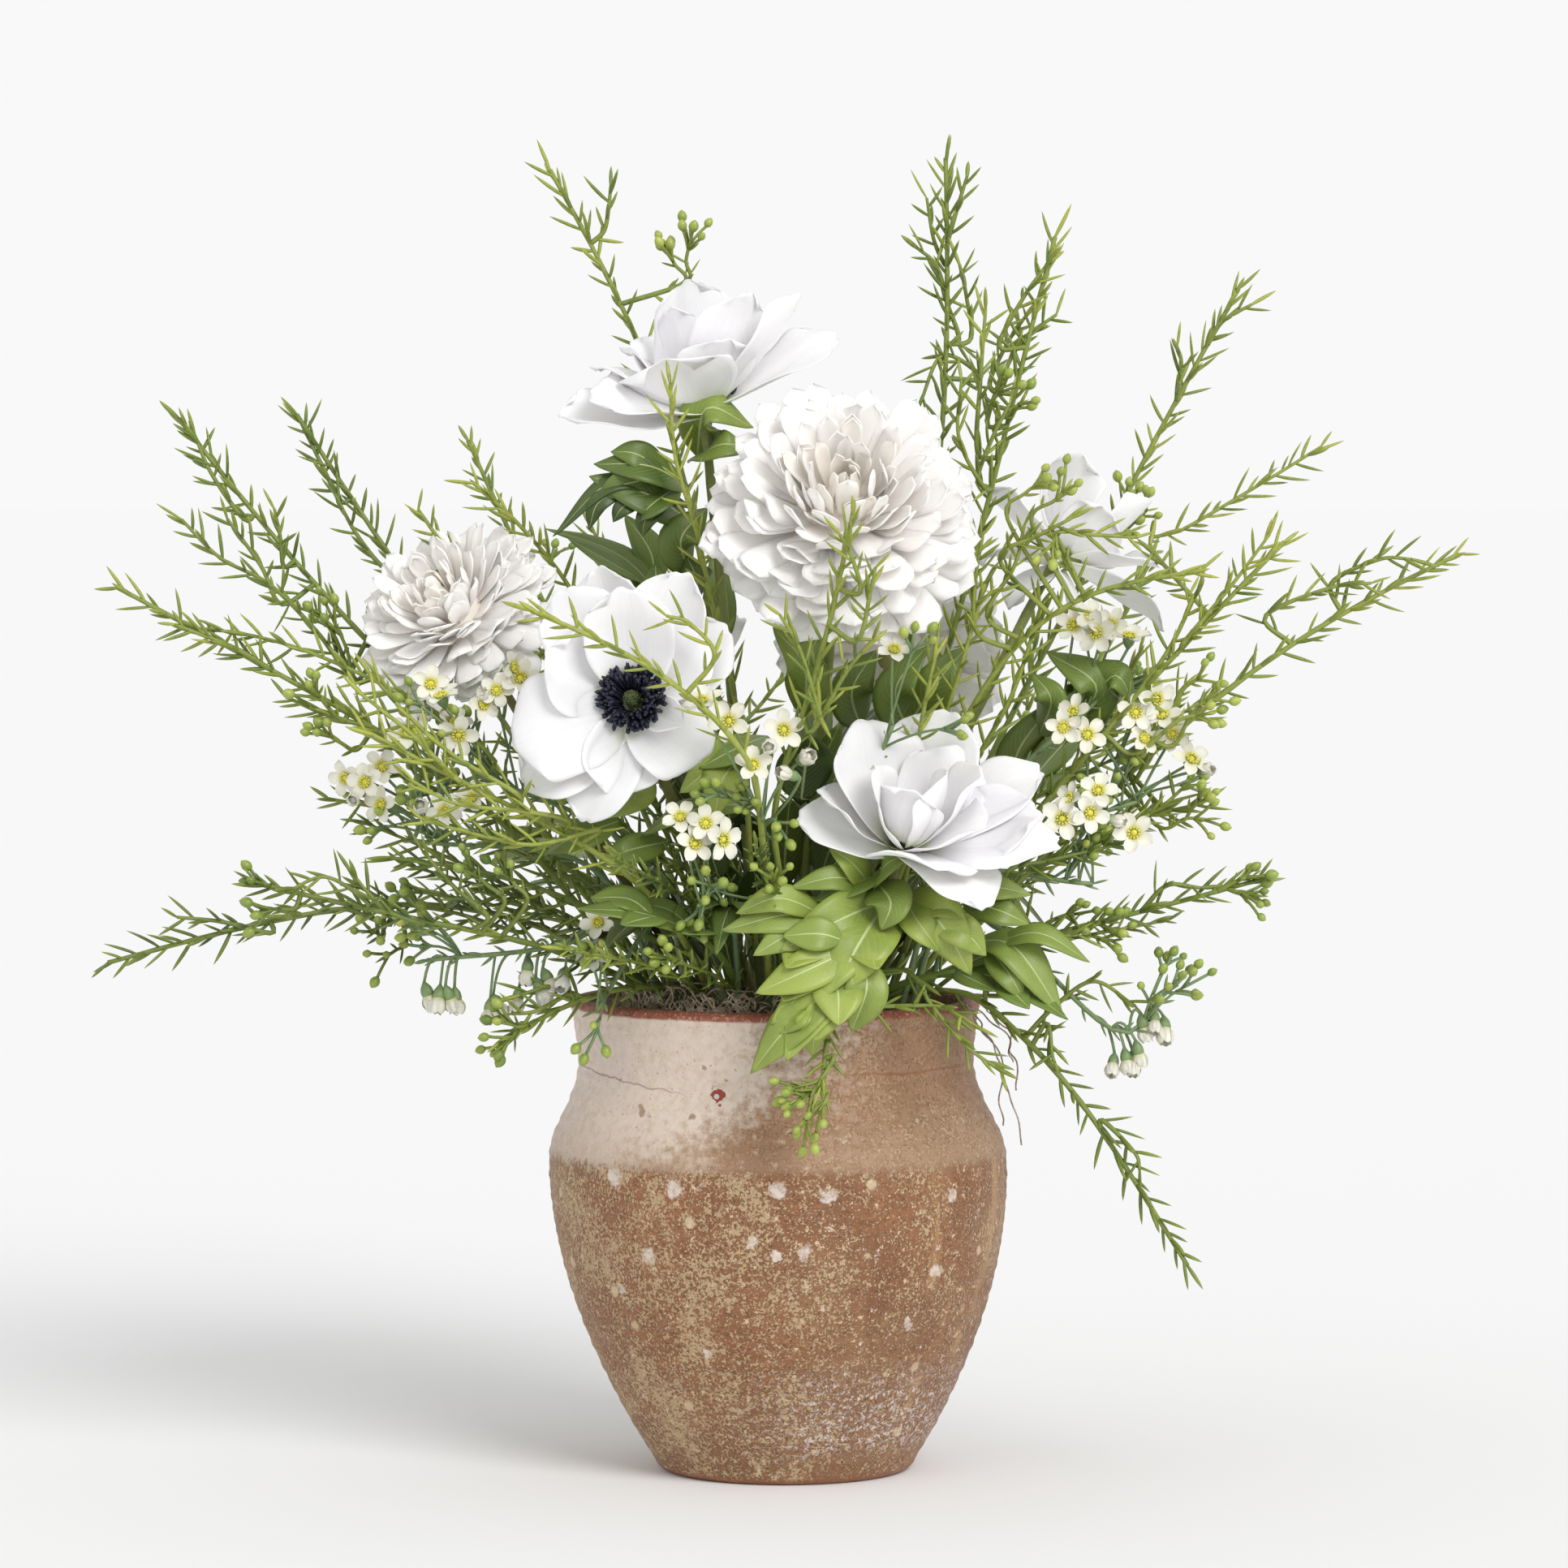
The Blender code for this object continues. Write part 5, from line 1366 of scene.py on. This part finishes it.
# Whole leaves at the sides and the back: half width, pairs of lobes, tone, and the midrib's points.
GROWN_LEAVES = (
    (17, 2, 0.4, 112, 12, 108, 126, 0, 128, 144, -6, 134),
    (14, 2, 0.3, -20, 40, 60, -40, 70, 90, -66, 84, 92), (15, 2, 0.35, 30, 50, 60, 60, 84, 76, 90, 96, 60),
    (16, 2, 0.3, 0, 50, 40, -6, 90, 56, -10, 118, 30), (14, 2, 0.4, 50, 30, 30, 92, 50, 44, 120, 54, 20),
    (14, 2, 0.35, -50, 30, 30, -92, 44, 44, -124, 46, 24),
    (13, 2, 0.28, -30, -50, 36, -66, -84, 34, -92, -92, 14),
    (13, 2, 0.3, -10, -52, 30, -20, -92, 44, -26, -112, 26),
)


def lobed_leaf(surface, line, half, pairs, tone, rng, facing=(0, 0, 1.0)):
    """A deeply cut leaf: a middle blade along the line, and on each side a number of narrower
    blades that leave the midrib forwards, longest in the middle of the leaf."""
    fine = through(line, 80)
    length = np.linalg.norm(np.diff(fine, axis=0), axis=1).sum()
    surface.add(leaf_blade(fine, half * 0.52, facing=facing), tone=tone)
    tangent = unit(np.gradient(fine, axis=0))
    side = unit(np.cross(tangent, facing) + (1e-4, 0, 0))
    upward = np.cross(side, tangent)
    for i in range(pairs):
        at = int(80 * (0.16 + 0.56 * i / max(pairs - 0.5, 1)))
        for hand in (-1, 1):
            here = min(at + int(rng.integers(-3, 4)), 76)
            reach = length * (0.42 - 0.10 * i) * rng.uniform(0.85, 1.1)
            start, along, out = fine[here], tangent[here], side[here] * hand
            forward = along * 0.80 + out * 0.62
            bend = start + forward * reach * 0.5 + upward[here] * reach * 0.06
            end = start + (along * 0.98 + out * 0.52) * reach - upward[here] * reach * rng.uniform(0.02, 0.2)
            blade = leaf_blade([start, bend, end], half * rng.uniform(0.34, 0.44), 16, 7, facing)
            surface.add(blade, tone=tone)


def make_leaves(rng):
    """The blades of the CAD leaves on their stalks, and the leaves that grow on the stems."""
    for name in LEAF_NAMES:
        rings = rings_of(name)
        widths = np.array([np.linalg.norm(ring[:, None] - ring[None], axis=2).max() for ring in rings])
        line = np.array([ring.mean(axis=0) for ring in rings])
        first = int(np.argmax(widths > 0.006))
        surface = Surface()
        add_twig(surface, through(line[: first + 2], 24), 0.0016, 0.0011, 8, 0.5, 0)
        tone = 0.85 if name == "leaf_over_rim" else 0.45
        pairs = 3 if name == "leaf_over_rim" else 2
        facing = (0, 0.5 * np.sign(line[-1, 1]), 0.85)
        lobed_leaf(surface, line[first:], widths.max() * 0.5, pairs, tone, rng, facing)
        make_piece(name.replace("leaf_", "lobed_leaf_"), surface, [LEAF], [name], LEAF_WALL)
    surface = Surface()
    for tone, half, *line in LEAF_LOBES:
        facing = unit(np.array((0, -0.86, 0.5)) + rng.normal(0, 0.22, 3))
        blade = leaf_blade(spots_of(line), half * 0.82 * MM, facing=facing)
        surface.add(blade, tone=tone + rng.normal(0, 0.03))
    made = 0
    while made < 60:
        angle, reach, height = rng.random() * 2 * math.pi, rng.uniform(0.01, 0.05), rng.uniform(0.195, 0.30)
        out = around(1.0, angle, 0.0)
        base = out * reach + (0, 0, height)
        length = rng.uniform(0.035, 0.055)
        run, rise = out * length * 0.62, (0, 0, length * 0.8)
        line = base + np.outer((0, 0.5, 1), run) + np.outer((0, 0.62, 1), rise)
        if any(head.holds(line, 0.006).any() for head in HEADS.values()):
            continue
        surface.add(leaf_blade(line, rng.uniform(0.008, 0.013), 12, 7), tone=rng.uniform(0.05, 0.4))
        made += 1
    for half, pairs, tone, *line in GROWN_LEAVES:
        lobed_leaf(surface, spots_of(line), half * MM * 1.15, pairs, tone + rng.normal(0, 0.04), rng)
    make_piece("grown_leaves", surface, [LEAF], (), LEAF_WALL)


# ---------------------------------------------------------------- filling


def make_filling(rng):
    """Short needle shoots that rise from the moss between the stems, clear of every head."""
    surface = Surface()
    made = 0
    while made < 46:
        angle = rng.random() * 2 * math.pi
        reach = rng.uniform(0.05, 0.14)
        height = rng.uniform(0.03, 0.13)
        foot = around(0.055, angle, 0.186) * (rng.uniform(0.3, 1), rng.uniform(0.3, 1), 1)
        out = around(1.0, angle, 0.0)
        end = foot + out * reach + (0, 0, height)
        line = through([foot, foot + out * reach * 0.30 + (0, 0, height * 0.62), end], 16)
        clear = not any(head.holds(line, 0.010).any() for head in HEADS.values())
        over_rim = (np.linalg.norm(line[:, :2], axis=1) > 0.070) & (line[:, 2] < 0.206)
        if not clear or over_rim.any():
            continue
        tone = rng.uniform(0.1, 0.7)
        add_twig(surface, line, 0.0011, 0.0006, 6, tone)
        add_needles(surface, line, rng, 0.25, tone, 0.0108, 0.003)
        if made % 4 == 0:
            add_buds(surface, line, rng, tone, 5)
        made += 1
    make_piece("filling_shoots", surface, [NEEDLE, TWIG, BUD])


# ---------------------------------------------------------------- studio


SKY_LIGHT = 0.73
SKY_SEEN = 0.945
PAPER = (0.855, 0.855, 0.855, 1)
# Each sun: its name, the direction to it, its spread in degrees, and its strength
SUNS = (("key", (0.80, -1.35, 1.05), 30, 1.95), ("fill", (-1.1, -1.2, 0.5), 60, 0.22))


def make_stage():
    """A wide pale floor under an even white sky, and a soft sun from the upper right."""
    turn = np.arange(48) * 2 * math.pi / 48
    rim = np.stack([60 * np.cos(turn), 60 * np.sin(turn), 0 * turn], axis=1)
    mesh = bpy.data.meshes.new("pale floor")
    mesh.from_pydata(rim.tolist(), [], [list(range(48))])
    floor = bpy.data.objects.new("pale_floor", mesh)
    bpy.context.scene.collection.objects.link(floor)
    paper = bpy.data.materials.new("paper")
    paper.use_nodes = True
    shader = paper.node_tree.nodes["Principled BSDF"]
    shader.inputs["Base Color"].default_value = PAPER
    shader.inputs["Roughness"].default_value = 1.0
    shader.inputs["Specular IOR Level"].default_value = 0.0
    mesh.materials.append(paper)
    world = bpy.data.worlds.new("studio")
    bpy.context.scene.world = world
    world.use_nodes = True
    tree = world.node_tree
    background = tree.nodes["Background"]
    background.inputs["Color"].default_value = (1.0, 1.0, 1.0, 1)
    path = tree.nodes.new("ShaderNodeLightPath")
    level = tree.nodes.new("ShaderNodeMapRange")
    level.inputs["To Min"].default_value = SKY_LIGHT
    level.inputs["To Max"].default_value = SKY_SEEN
    tree.links.new(path.outputs["Is Camera Ray"], level.inputs["Value"])
    tree.links.new(level.outputs[0], background.inputs["Strength"])
    for name, place, angle, power in SUNS:
        light = bpy.data.lights.new(name, "SUN")
        light.angle = math.radians(angle)
        light.energy = power
        lamp = bpy.data.objects.new(name, light)
        lamp.rotation_euler = (-Vector(place)).to_track_quat("-Z", "Y").to_euler()
        bpy.context.scene.collection.objects.link(lamp)


def make_camera():
    """A long lens from the front, a little above the rim, framed on the whole arrangement."""
    distance, height, target = 2.8, 0.43, Vector((0.0017, 0, 0.29))
    field = 0.661
    data = bpy.data.cameras.new("camera")
    data.sensor_width = 36
    data.lens = 36 * distance / field
    data.clip_end = 50
    camera = bpy.data.objects.new("camera", data)
    camera.location = (0, -distance, height)
    camera.rotation_euler = (target - camera.location).to_track_quat("-Z", "Y").to_euler()
    bpy.context.scene.collection.objects.link(camera)
    bpy.context.scene.camera = camera
    bpy.context.scene.view_settings.view_transform = "Standard"


def finish_carried_over():
    """The moss pad and the foam keep their CAD shapes and get their finishes."""
    for name, finish in (("moss", MOSS), ("foam", FOAM)):
        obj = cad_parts[name]
        obj.data.materials.clear()
        obj.data.materials.append(finish)


def main():
    make_camera()
    make_stage()
    finish_carried_over()
    make_pot()
    make_moss(np.random.default_rng(3))
    for number, head in enumerate(HEADS.values()):
        make = make_anemone if head.name.startswith("anemone") else make_dahlia
        make(head, np.random.default_rng(20 + number))
    make_flower_stems()
    make_sprigs(np.random.default_rng(7))
    make_sprays(np.random.default_rng(11))
    make_leaves(np.random.default_rng(5))
    make_filling(np.random.default_rng(13))


main()
